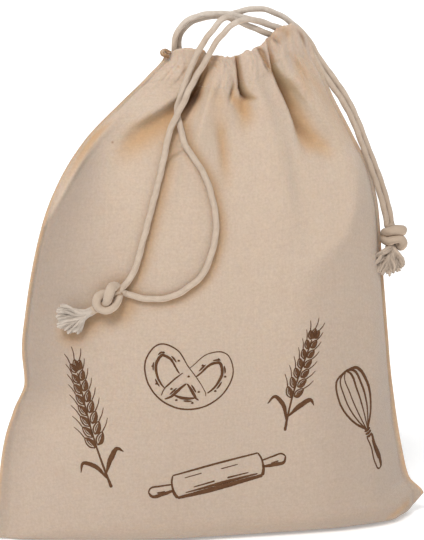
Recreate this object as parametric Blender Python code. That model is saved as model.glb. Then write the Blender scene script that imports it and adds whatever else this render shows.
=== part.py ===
"""A filled cotton drawstring bread bag, standing on its base.

Two cloth panels meet at the side seams and along the bottom seam. The gathered top has a
casing, and two drawcords leave it, each with its two ends tied in one frayed overhand knot.
Lengths are in millimetres, with +Z up and the front towards -Y.
"""

import math
from collections import namedtuple

import bmesh
import bpy
import numpy as np
from mathutils import Vector

MM = 0.001

# Cloth
CLOTH_THICK = 1.6
CASING_THICK = 2.6
CASING_HEIGHT = 20.0
CASING_STEP = 0.7
PIECE_GAP = 0.3
GAP_HALF = 0.5 * PIECE_GAP
SEAM_HALF = GAP_HALF + CLOTH_THICK
SEAM_INSET = 0.4
SEAM_FOOT = 0.8
SEAM_ROW_RISE = 0.12

# Standing form
FOOT_RADIUS = 22.0
FOOT_SHARE = 0.6
COLUMNS = 42
BASE_ROWS = 3
ROLL_ROWS = 4
FACE_ROWS = 17
CASING_ROWS = 4
COLUMN_EVENNESS = 0.6
FACE_CROWDING = 1.5
FOLD_EDGE_FADE = 7.0

# Drawcords
CORD_DIAMETER = 4.0
CORD_STEP = 9.0
CORD_RESOLUTION = 2
ROUTE_READINGS = 40

# Level sections of the bag: where the side seams stand, how far the cloth bulges to the
# front and to the back, how wide the flat seam edge is, and how square each shoulder is and
# how softly it falls to the seam.
Section = namedtuple(
    "Section", "height left right front back edge_l edge_r square_l square_r fall_l fall_r"
)
SECTIONS = (
    Section(0, -152.0, 152.0, 44, 44, 8, 20, 2.9, 4.4, 1.15, 0.75),
    Section(14, -151.5, 152.0, 45, 45, 8, 19, 2.9, 4.4, 1.15, 0.75),
    Section(27, -150.0, 141.0, 46, 46, 7, 11, 2.9, 4.2, 1.10, 0.72),
    Section(48, -148.0, 135.5, 47, 46, 6, 8, 2.9, 4.0, 1.05, 0.70),
    Section(69, -144.5, 131.5, 47, 46, 5, 6, 2.9, 3.8, 1.00, 0.66),
    Section(89, -138.0, 128.5, 47, 46, 4, 4, 2.8, 3.6, 0.90, 0.63),
    Section(108, -130.5, 126.0, 47, 47, 3, 3, 2.7, 3.5, 0.75, 0.60),
    Section(130, -132.0, 124.0, 47, 47, 3, 3, 2.7, 3.4, 0.72, 0.60),
    Section(157, -129.0, 121.5, 46, 47, 3, 3, 2.7, 3.3, 0.70, 0.60),
    Section(184, -124.5, 119.0, 44, 45, 3, 3, 2.7, 3.2, 0.70, 0.60),
    Section(218, -116.0, 115.0, 40, 40, 3, 3, 2.6, 3.0, 0.70, 0.60),
    Section(244, -105.0, 108.5, 35, 34, 3, 3, 2.6, 2.8, 0.68, 0.60),
    Section(270, -88.0, 95.0, 29, 28, 3, 3, 2.5, 2.6, 0.65, 0.60),
    Section(296, -62.0, 80.5, 23, 21, 3, 3, 2.4, 2.5, 0.60, 0.60),
    Section(312, -45.0, 73.0, 19, 17, 3, 3, 2.4, 2.4, 0.60, 0.60),
    Section(326, -33.5, 65.5, 16, 14, 3, 3, 2.4, 2.4, 0.60, 0.60),
    Section(350, -33.0, 62.0, 15, 13, 3, 3, 2.4, 2.4, 0.60, 0.60),
)

# The bottom seam lifts off the surface towards the corners.
Lift = namedtuple("Lift", "across rise")
FOOT_LIFT = (
    Lift(-152, 1.2), Lift(-134, 0.0), Lift(0, 0.0), Lift(121, 0.0), Lift(130, 1.8), Lift(152, 14.0),
)

# Upper edge of the casing, read across the bag.
Rim = namedtuple("Rim", "across height")
FRONT_RIM = (
    Rim(-33, 326.0), Rim(-24, 330.0), Rim(-12, 329.6), Rim(-5, 325.5), Rim(4, 325.0),
    Rim(11, 323.4), Rim(19, 328.8), Rim(26, 331.4), Rim(33, 334.6), Rim(39, 341.0),
    Rim(47, 344.6), Rim(55, 343.0), Rim(60, 337.0), Rim(65, 327.0),
)
BACK_RIM = (
    Rim(-33, 326.0), Rim(-22, 320.0), Rim(-8, 317.0), Rim(6, 315.5), Rim(20, 317.0),
    Rim(34, 321.0), Rim(46, 325.0), Rim(56, 326.0), Rim(65, 327.0),
)
RIM_READ_HEIGHT = 330.0

# Points along each fold line of a panel, with the fold's half width and its height there,
# outwards if positive.
Fold = namedtuple("Fold", "line x z wide high")
FRONT_FOLDS = (
    Fold("left slit", -9.5, 334, 3.6, -7.0), Fold("left slit", -16, 301, 4.8, -4.5),
    Fold("left slit", -27, 286, 8.0, -1.0),
    Fold("slit ridge", -4, 314, 7.0, 2.5), Fold("slit ridge", -21, 265, 9.0, 1.0),
    Fold("left shoulder", -27, 300, 6.0, 1.5), Fold("left shoulder", -70, 275, 9.0, 3.2),
    Fold("left shoulder", -86, 246, 11.0, 1.5),
    Fold("shoulder hollow", -32, 289, 6.5, -2.6), Fold("shoulder hollow", -66, 262, 9.0, -3.0),
    Fold("left side", -84, 262, 9.0, -1.5), Fold("left side", -108, 200, 14.0, -2.5),
    Fold("pleat", 12.5, 334, 3.4, -4.5), Fold("pleat", 13, 306, 4.0, -3.0),
    Fold("pleat", 20, 286, 6.0, -0.8),
    Fold("middle trough", -3, 281, 8.0, -1.8), Fold("middle trough", 1, 245, 12.0, -1.5),
    Fold("broad ridge", 31, 292, 12.0, 3.5), Fold("broad ridge", 43, 198, 24.0, 2.0),
    Fold("right trough", 46, 262, 8.0, -3.0), Fold("right trough", 58, 190, 16.0, -1.5),
    Fold("right slit", 31, 340, 3.6, -7.0), Fold("right slit", 35, 314, 4.0, -6.5),
    Fold("right slit", 44, 296, 5.0, -5.5), Fold("right slit", 51, 271, 8.5, -3.5),
    Fold("right slit", 78, 258, 11.0, -2.0),
    Fold("right shoulder", 45, 316, 6.5, 2.0), Fold("right shoulder", 57, 294, 8.0, 2.6),
    Fold("right shoulder", 90, 250, 14.0, 2.2),
    Fold("right turn", 110, 178, 11.0, 1.5), Fold("right turn", 111, 30, 12.0, 4.0),
    Fold("left notch", -126, 106, 8.0, -1.8), Fold("left notch", -104, 102, 10.0, -0.4),
)
BACK_FOLDS = (
    Fold("left slit", -14, 322, 3.8, -5.0), Fold("left slit", -24, 292, 5.5, -3.0),
    Fold("left slit", -64, 252, 12.0, -2.5),
    Fold("middle slit", 8, 320, 3.8, -5.5), Fold("middle slit", 4, 286, 6.0, -3.0),
    Fold("right slit", 30, 324, 3.8, -5.5), Fold("right slit", 38, 290, 6.0, -3.5),
    Fold("right slit", 62, 252, 12.0, -2.0),
    Fold("middle ridge", 18, 300, 9.0, 2.5), Fold("middle ridge", 14, 200, 24.0, 1.5),
    Fold("left ridge", -40, 286, 9.0, 2.6), Fold("left ridge", -84, 214, 18.0, 2.0),
    Fold("right ridge", 64, 282, 9.0, 2.6), Fold("right ridge", 96, 210, 18.0, 2.0),
    Fold("middle trough", -6, 280, 9.0, -2.2), Fold("middle trough", -12, 190, 16.0, -1.4),
    Fold("left notch", -130, 108, 6.0, -3.5), Fold("left notch", -92, 96, 10.0, -0.5),
    Fold("right notch", 124, 120, 6.0, -3.0), Fold("right notch", 90, 104, 10.0, -0.5),
)

# Drawcord routes from the casing to the knot, as points picked along each cord.
LEFT_ROUTE_A = (
    (43.7, -5.0, 342.1), (35.8, -6.0, 345.9), (27.3, -9.5, 348.6), (20.2, -13.5, 349.5),
    (14.3, -16.5, 349.1), (9.7, -18.5, 347.3), (5.9, -19.0, 344.7), (2.5, -20.0, 341.5),
    (-1.3, -20.6, 337.7), (-4.3, -21.0, 333.8), (-6.8, -21.3, 329.9), (-8.8, -21.1, 326.0),
    (-11.9, -21.0, 320.7), (-15.3, -21.2, 315.6), (-19.1, -23.1, 309.8), (-22.8, -25.9, 304.5),
    (-25.6, -26.6, 298.4), (-28.8, -27.1, 292.3), (-32.1, -28.4, 287.2), (-34.4, -28.0, 282.3),
    (-36.5, -29.0, 277.5), (-38.0, -29.5, 272.3), (-39.4, -30.6, 266.5), (-43.0, -33.6, 253.1),
    (-46.9, -36.1, 240.3), (-51.1, -38.3, 226.8), (-57.7, -40.8, 204.9), (-62.7, -41.9, 189.3),
    (-66.2, -42.5, 182.9), (-71.4, -46.1, 177.6),
)
LEFT_ROUTE_B = (
    (38.2, -5.0, 338.5), (30.2, -6.5, 341.7), (22.8, -8.5, 344.6), (16.1, -10.5, 347.4),
    (10.2, -12.5, 349.7), (5.9, -14.5, 351.2), (2.1, -16.5, 350.2), (-2.1, -18.3, 346.7),
    (-5.9, -19.5, 342.3), (-9.3, -20.0, 338.4), (-12.2, -20.0, 334.2), (-14.5, -19.7, 330.2),
    (-16.3, -19.3, 326.6), (-19.2, -19.1, 320.4), (-22.1, -19.8, 313.3), (-25.4, -21.9, 305.8),
    (-28.0, -22.3, 299.1), (-29.8, -22.0, 292.5), (-30.0, -23.7, 286.7), (-29.1, -26.8, 281.7),
    (-28.5, -29.4, 276.7), (-27.4, -31.5, 270.9), (-24.8, -33.4, 265.4), (-21.1, -34.6, 259.9),
    (-17.0, -35.9, 253.3), (-13.3, -37.5, 245.4), (-10.5, -39.9, 235.1), (-8.4, -42.6, 221.4),
    (-8.7, -43.9, 212.3), (-10.3, -44.9, 203.9), (-13.9, -46.0, 193.5), (-18.1, -46.8, 185.1),
    (-27.7, -47.2, 176.9), (-36.4, -47.1, 171.9), (-43.7, -46.7, 169.9), (-50.2, -46.0, 169.6),
    (-56.7, -45.0, 170.0), (-62.6, -44.4, 171.3), (-69.0, -45.0, 173.5),
)
RIGHT_ROUTE_A = (
    (-26.4, 0.8, 321.1), (-26.8, 0.5, 327.8), (-27.0, -0.5, 334.5), (-24.8, -1.5, 341.8),
    (-18.7, -1.5, 348.4), (-9.8, -1.5, 351.9), (0.5, -1.5, 353.1), (11.0, -0.5, 352.3),
    (20.3, 1.0, 350.1), (29.1, 3.0, 347.9), (38.6, 5.0, 345.0), (47.4, 6.5, 342.4),
    (55.8, 6.5, 339.0), (63.1, 4.4, 333.3), (68.7, 1.6, 325.4), (74.0, 0.5, 315.4),
    (79.4, -0.5, 307.3), (84.3, -1.0, 300.5), (89.1, -1.5, 293.6), (93.1, -1.5, 286.7),
    (96.7, -1.5, 279.8), (100.0, -1.5, 272.2), (102.9, -1.5, 264.6), (106.3, -1.5, 256.2),
    (110.3, -1.5, 246.5), (114.6, -1.5, 236.0), (117.9, -2.0, 225.6), (120.1, -3.5, 216.0),
    (121.2, -5.0, 207.4),
)
RIGHT_ROUTE_B = (
    (-21.7, 2.3, 320.9), (-22.8, 3.4, 327.5), (-23.5, 3.2, 334.2), (-21.4, 3.2, 340.8),
    (-15.6, 3.2, 346.7), (-7.4, 3.2, 350.0), (2.3, 3.4, 351.2), (12.2, 4.7, 352.0),
    (19.6, 6.5, 353.8), (26.7, 7.5, 355.2), (35.2, 8.0, 355.3), (43.8, 9.0, 352.8),
    (51.8, 10.0, 348.9), (58.8, 10.0, 343.5), (65.5, 8.5, 337.0), (69.9, 6.5, 330.3),
    (74.1, 5.0, 322.6), (79.8, 3.5, 314.4), (85.2, 2.5, 307.0), (90.0, 2.0, 300.1),
    (94.6, 1.5, 293.2), (98.6, 1.5, 286.3), (101.9, 1.5, 279.4), (105.2, 1.5, 271.8),
    (108.1, 1.5, 264.1), (111.8, 1.5, 255.8), (115.8, 1.5, 246.0), (119.7, 1.5, 235.5),
    (122.8, 1.0, 225.0), (124.5, -1.0, 215.5), (125.3, -2.3, 207.3),
)

# Knots: a rounded body, the raised turns of the knot around it, a short tail and the ends
# that its frayed locks fan out to.
Turn = namedtuple("Turn", "x y z offset wide high")
Knot = namedtuple("Knot", "centre size turns tail ends")
LEFT_KNOT = Knot(
    centre=(-80.0, -45.6, 170.2),
    size=(9.6, 6.2, 10.6),
    turns=(
        Turn(0.90, -0.10, 0.42, -0.02, 0.24, 0.16),
        Turn(-0.30, -0.20, -0.93, 0.58, 0.20, 0.16),
        Turn(-0.80, 0.10, 0.55, 0.72, 0.20, 0.14),
    ),
    tail=((-86.0, -43.5, 165.5), (-91.0, -41.0, 161.6), (-97.0, -38.2, 158.0)),
    ends=(
        (-109.0, -31.5, 162.2), (-111.8, -29.5, 157.0), (-113.0, -28.5, 151.4),
        (-108.6, -32.0, 147.0), (-101.4, -36.4, 144.6),
    ),
)
RIGHT_KNOT = Knot(
    centre=(125.8, -6.2, 198.4),
    size=(7.8, 6.2, 8.4),
    turns=(
        Turn(0.30, -0.15, 0.94, 0.36, 0.22, 0.16),
        Turn(0.45, -0.10, 0.88, -0.36, 0.24, 0.16),
        Turn(-0.90, -0.30, 0.30, 0.62, 0.22, 0.10),
    ),
    tail=((124.6, -6.6, 193.0), (123.4, -7.4, 188.4), (122.2, -8.2, 184.6)),
    ends=(
        (113.4, -17.5, 176.6), (115.6, -16.5, 172.6), (122.4, -12.0, 172.2),
        (128.8, -8.5, 173.0), (134.0, -6.0, 175.6),
    ),
)
KNOT_SEGMENTS = 18
KNOT_RINGS = 12
TAIL_RADIUS = 2.7
TAIL_SIDES = 8
LOCK_COUNT = 14
LOCK_SIDES = 3
LOCK_ROOT = 1.35
LOCK_TIP = 0.7
LOCK_BOW = 0.16
LOCK_SHORTEST = 0.76
LOCK_LENGTH_TURN = 2.4
LOCK_SETBACK = 0.25
LOCK_STAGGER = 0.06
LOCK_NEAR_BOW = 0.25


def smooth_read(keys, values, where):
    """Read a table on a smooth curve that never swings past its points."""
    keys, values = np.asarray(keys, float), np.asarray(values, float)
    where = np.clip(np.asarray(where, float), keys[0], keys[-1])
    steps = np.diff(keys)
    secants = np.diff(values) / steps
    before, after = secants[:-1], secants[1:]
    same_way = before * after > 0.0
    total = np.where(same_way, before + after, 1.0)
    inner = np.where(same_way, 2.0 * before * after / total, 0.0)
    slopes = np.concatenate([secants[:1], inner, secants[-1:]])
    index = np.clip(np.searchsorted(keys, where, side="right") - 1, 0, len(steps) - 1)
    step = steps[index]
    t = (where - keys[index]) / step
    return (
        values[index] * (2 * t**3 - 3 * t**2 + 1)
        + values[index + 1] * (3 * t**2 - 2 * t**3)
        + step * slopes[index] * (t**3 - 2 * t**2 + t)
        + step * slopes[index + 1] * (t**3 - t**2)
    )


def section_at(height):
    """Every column of SECTIONS at the given heights."""
    keys = [row.height for row in SECTIONS]
    return Section(*(smooth_read(keys, column, height) for column in zip(*SECTIONS)))


def seam_distance(across, level):
    """Distance along X to the nearer side seam."""
    return np.minimum(across - level.left, level.right - across)


def cloth_bulge(across, height, side):
    """How far a panel's plain outer face stands from the seam plane."""
    level = section_at(height)
    low, high = level.left + level.edge_l, level.right - level.edge_r
    place = (across - 0.5 * (low + high)) / (0.5 * (high - low))
    square = np.where(place < 0.0, level.square_l, level.square_r)
    fall = np.where(place < 0.0, level.fall_l, level.fall_r)
    swell = np.clip(1.0 - np.abs(place) ** square, 0.0, 1.0) ** fall
    reach = level.front if side < 0 else level.back
    return SEAM_HALF + (reach - SEAM_HALF) * swell


def fold_relief(across, height, folds):
    """Height of the folds at each point, fading out towards the side seams."""
    relief = np.zeros(np.broadcast(across, height).shape)
    for name in dict.fromkeys(row.line for row in folds):
        points = [row for row in folds if row.line == name]
        nearest = np.full(relief.shape, np.inf)
        share = np.zeros(relief.shape)
        for start, end in zip(points, points[1:]):
            run_x, run_z = end.x - start.x, end.z - start.z
            along = (across - start.x) * run_x + (height - start.z) * run_z
            along = np.clip(along / (run_x**2 + run_z**2), 0.0, 1.0)
            off = np.hypot(across - start.x - along * run_x, height - start.z - along * run_z)
            wide = start.wide + along * (end.wide - start.wide)
            high = start.high + along * (end.high - start.high)
            closer = off < nearest
            share = np.where(closer, high * np.exp(-((off / wide) ** 2)), share)
            nearest = np.where(closer, off, nearest)
        relief += share
    inside = np.maximum(seam_distance(across, section_at(height)), 0.0)
    return relief * (1.0 - np.exp(-((inside / FOLD_EDGE_FADE) ** 2)))


def cloth_face(across, height, side, folds):
    """Distance of a panel's folded outer face from the seam plane."""
    return np.maximum(cloth_bulge(across, height, side) + fold_relief(across, height, folds), SEAM_HALF)


def column_spread():
    """Places of the columns from seam to seam, from -1 to 1."""
    even = np.linspace(-1.0, 1.0, COLUMNS + 1)
    return COLUMN_EVENNESS * even + (1.0 - COLUMN_EVENNESS) * np.sin(0.5 * math.pi * even)


def across_at(height):
    """Where each column stands along X at its own height."""
    level = section_at(height)
    return level.left + (level.right - level.left) * 0.5 * (column_spread() + 1.0)


def panel_rows(side, rim, folds):
    """Outer face of a panel, row by row from the bottom seam to the rim."""
    lift = smooth_read(*zip(*FOOT_LIFT), across_at(np.zeros(COLUMNS + 1)))
    levels = (lift, lift + 0.5 * FOOT_RADIUS, lift + FOOT_RADIUS)
    least = np.min([cloth_bulge(across_at(level), level, side) for level in levels], axis=0)
    radius = np.minimum(FOOT_RADIUS, FOOT_SHARE * least)
    foot = lift + radius
    reach = cloth_face(across_at(foot), foot, side, folds)
    top = smooth_read(*zip(*rim), across_at(np.full(COLUMNS + 1, RIM_READ_HEIGHT)))
    rows = []
    for share in np.arange(BASE_ROWS) / BASE_ROWS:
        out = GAP_HALF + share * (reach - radius - GAP_HALF)
        rows.append((across_at(lift), out, lift))
    for turn in np.linspace(0.0, 0.5 * math.pi, ROLL_ROWS + 1)[:-1]:
        height = lift + radius * (1.0 - math.cos(turn))
        rows.append((across_at(height), reach - radius * (1.0 - math.sin(turn)), height))
    for share in np.linspace(0.0, 1.0, FACE_ROWS + 1):
        height = foot + (top - CASING_HEIGHT - foot) * (1.0 - (1.0 - share) ** FACE_CROWDING)
        rows.append((across_at(height), cloth_face(across_at(height), height, side, folds), height))
    for share in np.linspace(0.0, 1.0, CASING_ROWS + 1)[1:]:
        height = top - CASING_HEIGHT * (1.0 - share)
        out = cloth_face(across_at(height), height, side, folds) + CASING_STEP
        rows.append((across_at(height), out, height))
    return np.array([np.stack([x, side * out, z], axis=-1) for x, out, z in rows])


def panel_inner(outer, plain, side):
    """Inner face: the outer one moved in along the normals of the panel without folds."""
    along_row = np.gradient(plain, axis=1)
    along_column = np.gradient(plain, axis=0)
    normal = -side * np.cross(along_row, along_column)
    normal /= np.linalg.norm(normal, axis=-1, keepdims=True)
    thick = np.full(len(outer), CLOTH_THICK)
    thick[-CASING_ROWS:] = CASING_THICK
    inner = outer - normal * thick[:, None, None]
    inner[..., 1] = side * np.maximum(side * inner[..., 1], GAP_HALF)
    for column, inset in ((0, SEAM_INSET), (-1, -SEAM_INSET)):
        edge = outer[:, column].copy()
        least = edge[0, 2] + SEAM_FOOT + SEAM_ROW_RISE * np.arange(len(edge))
        edge[:, 0] += inset
        edge[:, 1] = side * GAP_HALF
        edge[:, 2] = np.maximum(edge[:, 2], least)
        edge[-1, 2] = outer[-1, column, 2]
        inner[:, column] = edge
    return inner


def new_material(name, color, roughness):
    """A matt dyed or natural fibre finish."""
    material = bpy.data.materials.new(name)
    material.use_nodes = True
    shader = material.node_tree.nodes["Principled BSDF"]
    shader.inputs["Base Color"].default_value = (*color, 1.0)
    shader.inputs["Roughness"].default_value = roughness
    shader.inputs["Metallic"].default_value = 0.0
    return material


def add_object(name, data, material):
    """Put a mesh or curve into the scene under one name."""
    data.materials.append(material)
    obj = bpy.data.objects.new(name, data)
    bpy.context.scene.collection.objects.link(obj)
    return obj


def grid_faces(rows, columns, first, flip):
    """Quads of a grid of points that starts at vertex `first`."""
    quads = []
    for r in range(rows - 1):
        for c in range(columns - 1):
            a = first + r * columns + c
            quad = (a, a + 1, a + 1 + columns, a + columns)
            quads.append(quad[::-1] if flip else quad)
    return quads


def build_panel(name, side, rim, folds, material):
    """One cloth panel as a closed shell with its casing."""
    outer = panel_rows(side, rim, folds)
    inner = panel_inner(outer, panel_rows(side, rim, ()), side)
    rows, columns = outer.shape[:2]
    count = rows * columns
    faces = grid_faces(rows, columns, 0, side > 0) + grid_faces(rows, columns, count, side < 0)
    border = list(range(columns))
    border += [r * columns + columns - 1 for r in range(1, rows)]
    border += [(rows - 1) * columns + c for c in range(columns - 2, -1, -1)]
    border += [r * columns for r in range(rows - 2, 0, -1)]
    for a, b in zip(border, border[1:] + border[:1]):
        quad = (b, a, a + count, b + count)
        faces.append(quad[::-1] if side > 0 else quad)
    points = np.concatenate([outer.reshape(-1, 3), inner.reshape(-1, 3)]) * MM
    mesh = bpy.data.meshes.new(name)
    mesh.from_pydata([tuple(point) for point in points.tolist()], [], faces)
    mesh.shade_smooth()
    return add_object(name, mesh, material)


def smooth_route(points, step):
    """Points a steady distance apart on a smooth curve through a route's own points."""
    points = np.array(points, float)
    chords = np.linalg.norm(np.diff(points, axis=0), axis=1)
    along = np.concatenate([[0.0], np.cumsum(chords)])
    fine = np.linspace(0.0, along[-1], ROUTE_READINGS * len(points))
    slopes = np.gradient(points, along, axis=0)
    index = np.clip(np.searchsorted(along, fine, side="right") - 1, 0, len(chords) - 1)
    chord = chords[index][:, None]
    t = (fine[:, None] - along[index][:, None]) / chord
    curve = (
        points[index] * (2 * t**3 - 3 * t**2 + 1)
        + points[index + 1] * (3 * t**2 - 2 * t**3)
        + chord * slopes[index] * (t**3 - 2 * t**2 + t)
        + chord * slopes[index + 1] * (t**3 - t**2)
    )
    travelled = np.concatenate([[0.0], np.cumsum(np.linalg.norm(np.diff(curve, axis=0), axis=1))])
    stops = np.linspace(0.0, travelled[-1], int(round(travelled[-1] / step)) + 1)
    return np.stack([np.interp(stops, travelled, curve[:, axis]) for axis in range(3)], axis=1)


def build_cord(name, route, material):
    """One strand of a drawcord as a round tube along its route."""
    curve = bpy.data.curves.new(name, "CURVE")
    curve.dimensions = "3D"
    curve.bevel_depth = 0.5 * CORD_DIAMETER * MM
    curve.bevel_resolution = CORD_RESOLUTION
    curve.use_fill_caps = True
    points = smooth_route(route, CORD_STEP) * MM
    spline = curve.splines.new("POLY")
    spline.points.add(len(points) - 1)
    for target, point in zip(spline.points, points):
        target.co = (*point, 1.0)
    return add_object(name, curve, material)


def knot_body(knot):
    """A rounded body with the knot's turns raised around it."""
    shape = bmesh.new()
    bmesh.ops.create_uvsphere(shape, u_segments=KNOT_SEGMENTS, v_segments=KNOT_RINGS, radius=1.0)
    for vert in shape.verts:
        way = vert.co.normalized()
        swell = 1.0
        for turn in knot.turns:
            off = way.dot(Vector((turn.x, turn.y, turn.z)).normalized()) - turn.offset
            swell += turn.high * math.exp(-((off / turn.wide) ** 2))
        place = [c + swell * half * w for c, half, w in zip(knot.centre, knot.size, way)]
        vert.co = Vector(place) * MM
    return shape


def tapered_tube(route, radii, sides):
    """A closed tube whose radius changes along its route."""
    shape = bmesh.new()
    points = [Vector(point) * MM for point in route]
    loops = []
    for index, point in enumerate(points):
        ahead = points[min(index + 1, len(points) - 1)] - points[max(index - 1, 0)]
        frame = ahead.to_track_quat("Z", "Y")
        loop = []
        for side in range(sides):
            turn = 2.0 * math.pi * side / sides
            spoke = Vector((math.cos(turn), math.sin(turn), 0.0)) * radii[index] * MM
            loop.append(shape.verts.new(point + frame @ spoke))
        loops.append(loop)
    for low, high in zip(loops, loops[1:]):
        for side in range(sides):
            after = (side + 1) % sides
            shape.faces.new((low[side], low[after], high[after], high[side]))
    shape.faces.new(loops[0][::-1])
    shape.faces.new(loops[-1])
    return shape


def lock_shapes(knot):
    """The frayed locks, fanned between the ends that the knot's row names."""
    root = Vector(knot.tail[-1])
    before = Vector(knot.tail[-2])
    ends = np.array(knot.ends, float)
    places = np.linspace(0.0, 1.0, len(ends))
    for index in range(LOCK_COUNT):
        share = index / (LOCK_COUNT - 1)
        end = Vector([float(np.interp(share, places, ends[:, axis])) for axis in range(3)])
        wave = 0.5 + 0.5 * math.sin(LOCK_LENGTH_TURN * index)
        end = root + (end - root) * (LOCK_SHORTEST + (1.0 - LOCK_SHORTEST) * wave)
        start = root.lerp(before, LOCK_SETBACK)
        start += (end - root) * LOCK_STAGGER
        bow = (root - before).normalized() * (end - root).length * LOCK_BOW
        middle = start.lerp(end, 0.5) + bow
        route = [start, start.lerp(middle, 0.5) + bow * LOCK_NEAR_BOW, middle, end]
        radii = [LOCK_ROOT, LOCK_ROOT, 0.5 * (LOCK_ROOT + LOCK_TIP), LOCK_TIP]
        yield tapered_tube(route, radii, LOCK_SIDES)


def fuse(base, extra):
    """Join a second body into the first one."""
    cutter = base.modifiers.new("fuse", "BOOLEAN")
    cutter.operation = "UNION"
    cutter.solver = "EXACT"
    cutter.object = extra
    bpy.context.view_layer.update()
    graph = bpy.context.evaluated_depsgraph_get()
    joined = bpy.data.meshes.new_from_object(base.evaluated_get(graph))
    base.modifiers.clear()
    base.data = joined
    bpy.data.objects.remove(extra, do_unlink=True)


def build_knot(name, knot, material):
    """A drawcord's knot with its tail and frayed locks, fused into one solid."""
    tail = tapered_tube(knot.tail, [TAIL_RADIUS] * len(knot.tail), TAIL_SIDES)
    body = None
    for shape in (knot_body(knot), tail, *lock_shapes(knot)):
        mesh = bpy.data.meshes.new(name)
        shape.to_mesh(mesh)
        shape.free()
        if body is None:
            body = add_object(name, mesh, material)
        else:
            fuse(body, add_object(name + "_piece", mesh, material))
    body.data.shade_smooth()
    return body


def main():
    """Build the whole bag."""
    for obj in list(bpy.data.objects):
        bpy.data.objects.remove(obj, do_unlink=True)
    cloth = new_material("unbleached_cotton", (0.63, 0.51, 0.39), 0.95)
    cord = new_material("cotton_cord", (0.66, 0.57, 0.46), 0.9)
    build_panel("front_panel", -1, FRONT_RIM, FRONT_FOLDS, cloth)
    build_panel("back_panel", 1, BACK_RIM, BACK_FOLDS, cloth)
    build_cord("cord_left_a", LEFT_ROUTE_A, cord)
    build_cord("cord_left_b", LEFT_ROUTE_B, cord)
    build_cord("cord_right_a", RIGHT_ROUTE_A, cord)
    build_cord("cord_right_b", RIGHT_ROUTE_B, cord)
    build_knot("knot_left", LEFT_KNOT, cord)
    build_knot("knot_right", RIGHT_KNOT, cord)


main()
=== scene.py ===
"""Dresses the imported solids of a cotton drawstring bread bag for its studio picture.

The filled bag stands on its base with its front towards -Y and +Z up. Tables of points and
sizes are in millimetres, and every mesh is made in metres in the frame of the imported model.
"""

from __future__ import annotations

import logging
import math
from collections.abc import Iterable, Sequence
from dataclasses import dataclass, field
from enum import Enum
from typing import NamedTuple

import bmesh
import bpy
import numpy as np
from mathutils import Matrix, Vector


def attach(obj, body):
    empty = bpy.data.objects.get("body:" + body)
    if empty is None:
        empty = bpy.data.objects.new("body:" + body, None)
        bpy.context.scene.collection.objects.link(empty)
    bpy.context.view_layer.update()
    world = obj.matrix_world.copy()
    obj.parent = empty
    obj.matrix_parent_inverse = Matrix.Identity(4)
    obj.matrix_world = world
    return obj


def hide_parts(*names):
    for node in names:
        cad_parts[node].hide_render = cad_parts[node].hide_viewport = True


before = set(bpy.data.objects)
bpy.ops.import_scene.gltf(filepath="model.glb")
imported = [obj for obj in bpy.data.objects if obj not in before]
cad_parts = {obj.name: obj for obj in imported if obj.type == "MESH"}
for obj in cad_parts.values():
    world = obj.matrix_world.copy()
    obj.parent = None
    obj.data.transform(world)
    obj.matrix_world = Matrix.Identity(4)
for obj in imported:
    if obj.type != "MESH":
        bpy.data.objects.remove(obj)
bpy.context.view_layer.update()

LOG = logging.getLogger("bread_bag")
MM = 0.001
BODY = "root"
CLOTH_SLOT = "cloth"
CORD_SLOT = "cord"

Numbers = np.ndarray
Object = bpy.types.Object
Material = bpy.types.Material
Point = tuple[float, float, float]
Color = tuple[float, float, float]
Rows = tuple[tuple[float, ...], ...]
Lines = dict[str, Rows]


class Side(Enum):
    """The way a panel faces, as its sign along Y."""

    FRONT = -1
    BACK = 1


class Lay(Enum):
    """How a drawcord rests outside the casing."""

    LOOSE = "loose"
    HANGING = "hanging"


# Tables of the form


class Section(NamedTuple):
    """A level section of the bag."""

    height: float
    left: float
    right: float
    front: float
    back: float
    edge_l: float
    edge_r: float
    square_l: float
    square_r: float
    fall_l: float
    fall_r: float


class Fold(NamedTuple):
    """A point on a fold line: half width, height outwards and lean towards +X."""

    x: float
    z: float
    wide: float
    high: float
    lean: float = 0.0


# The fields of Section in each row.
SECTIONS = (
    (0, -152, 152, 44, 44, 8, 8, 2.9, 6, 1.15, 1.00),
    (14, -151.5, 152, 45, 45, 8, 8, 2.9, 6, 1.15, 1.00),
    (27, -150, 141, 46, 46, 7, 5, 2.9, 5.4, 1.10, 0.96),
    (48, -148, 135.5, 47, 46, 6, 4, 2.9, 4.8, 1.05, 0.88),
    (69, -144.5, 131.5, 47, 46, 5, 4, 2.9, 4.2, 1.00, 0.80),
    (89, -138, 128.5, 47, 46, 4, 3, 2.8, 3.8, 0.90, 0.70),
    (108, -130.5, 126, 47, 47, 3, 3, 2.7, 3.5, 0.75, 0.60),
    (130, -132, 124, 47, 47, 3, 3, 2.7, 3.4, 0.72, 0.60),
    (157, -129, 121.5, 46, 47, 3, 3, 2.7, 3.3, 0.70, 0.60),
    (184, -124.5, 119, 44, 45, 3, 3, 2.7, 3.2, 0.70, 0.60),
    (218, -116, 116, 40, 40, 3, 3, 2.6, 3, 0.70, 0.60),
    (244, -105, 110, 35, 34, 3, 3, 2.6, 2.8, 0.68, 0.60),
    (270, -88, 97, 29, 28, 3, 3, 2.5, 2.6, 0.65, 0.60),
    (296, -62, 83, 23, 21, 3, 3, 2.4, 2.5, 0.60, 0.60),
    (312, -45, 75.5, 19, 17, 3, 3, 2.4, 2.4, 0.60, 0.60),
    (326, -33.5, 68.5, 16, 14, 3, 3, 2.4, 2.4, 0.60, 0.60),
    (350, -33, 66, 15, 13, 3, 3, 2.4, 2.4, 0.60, 0.60),
)

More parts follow.
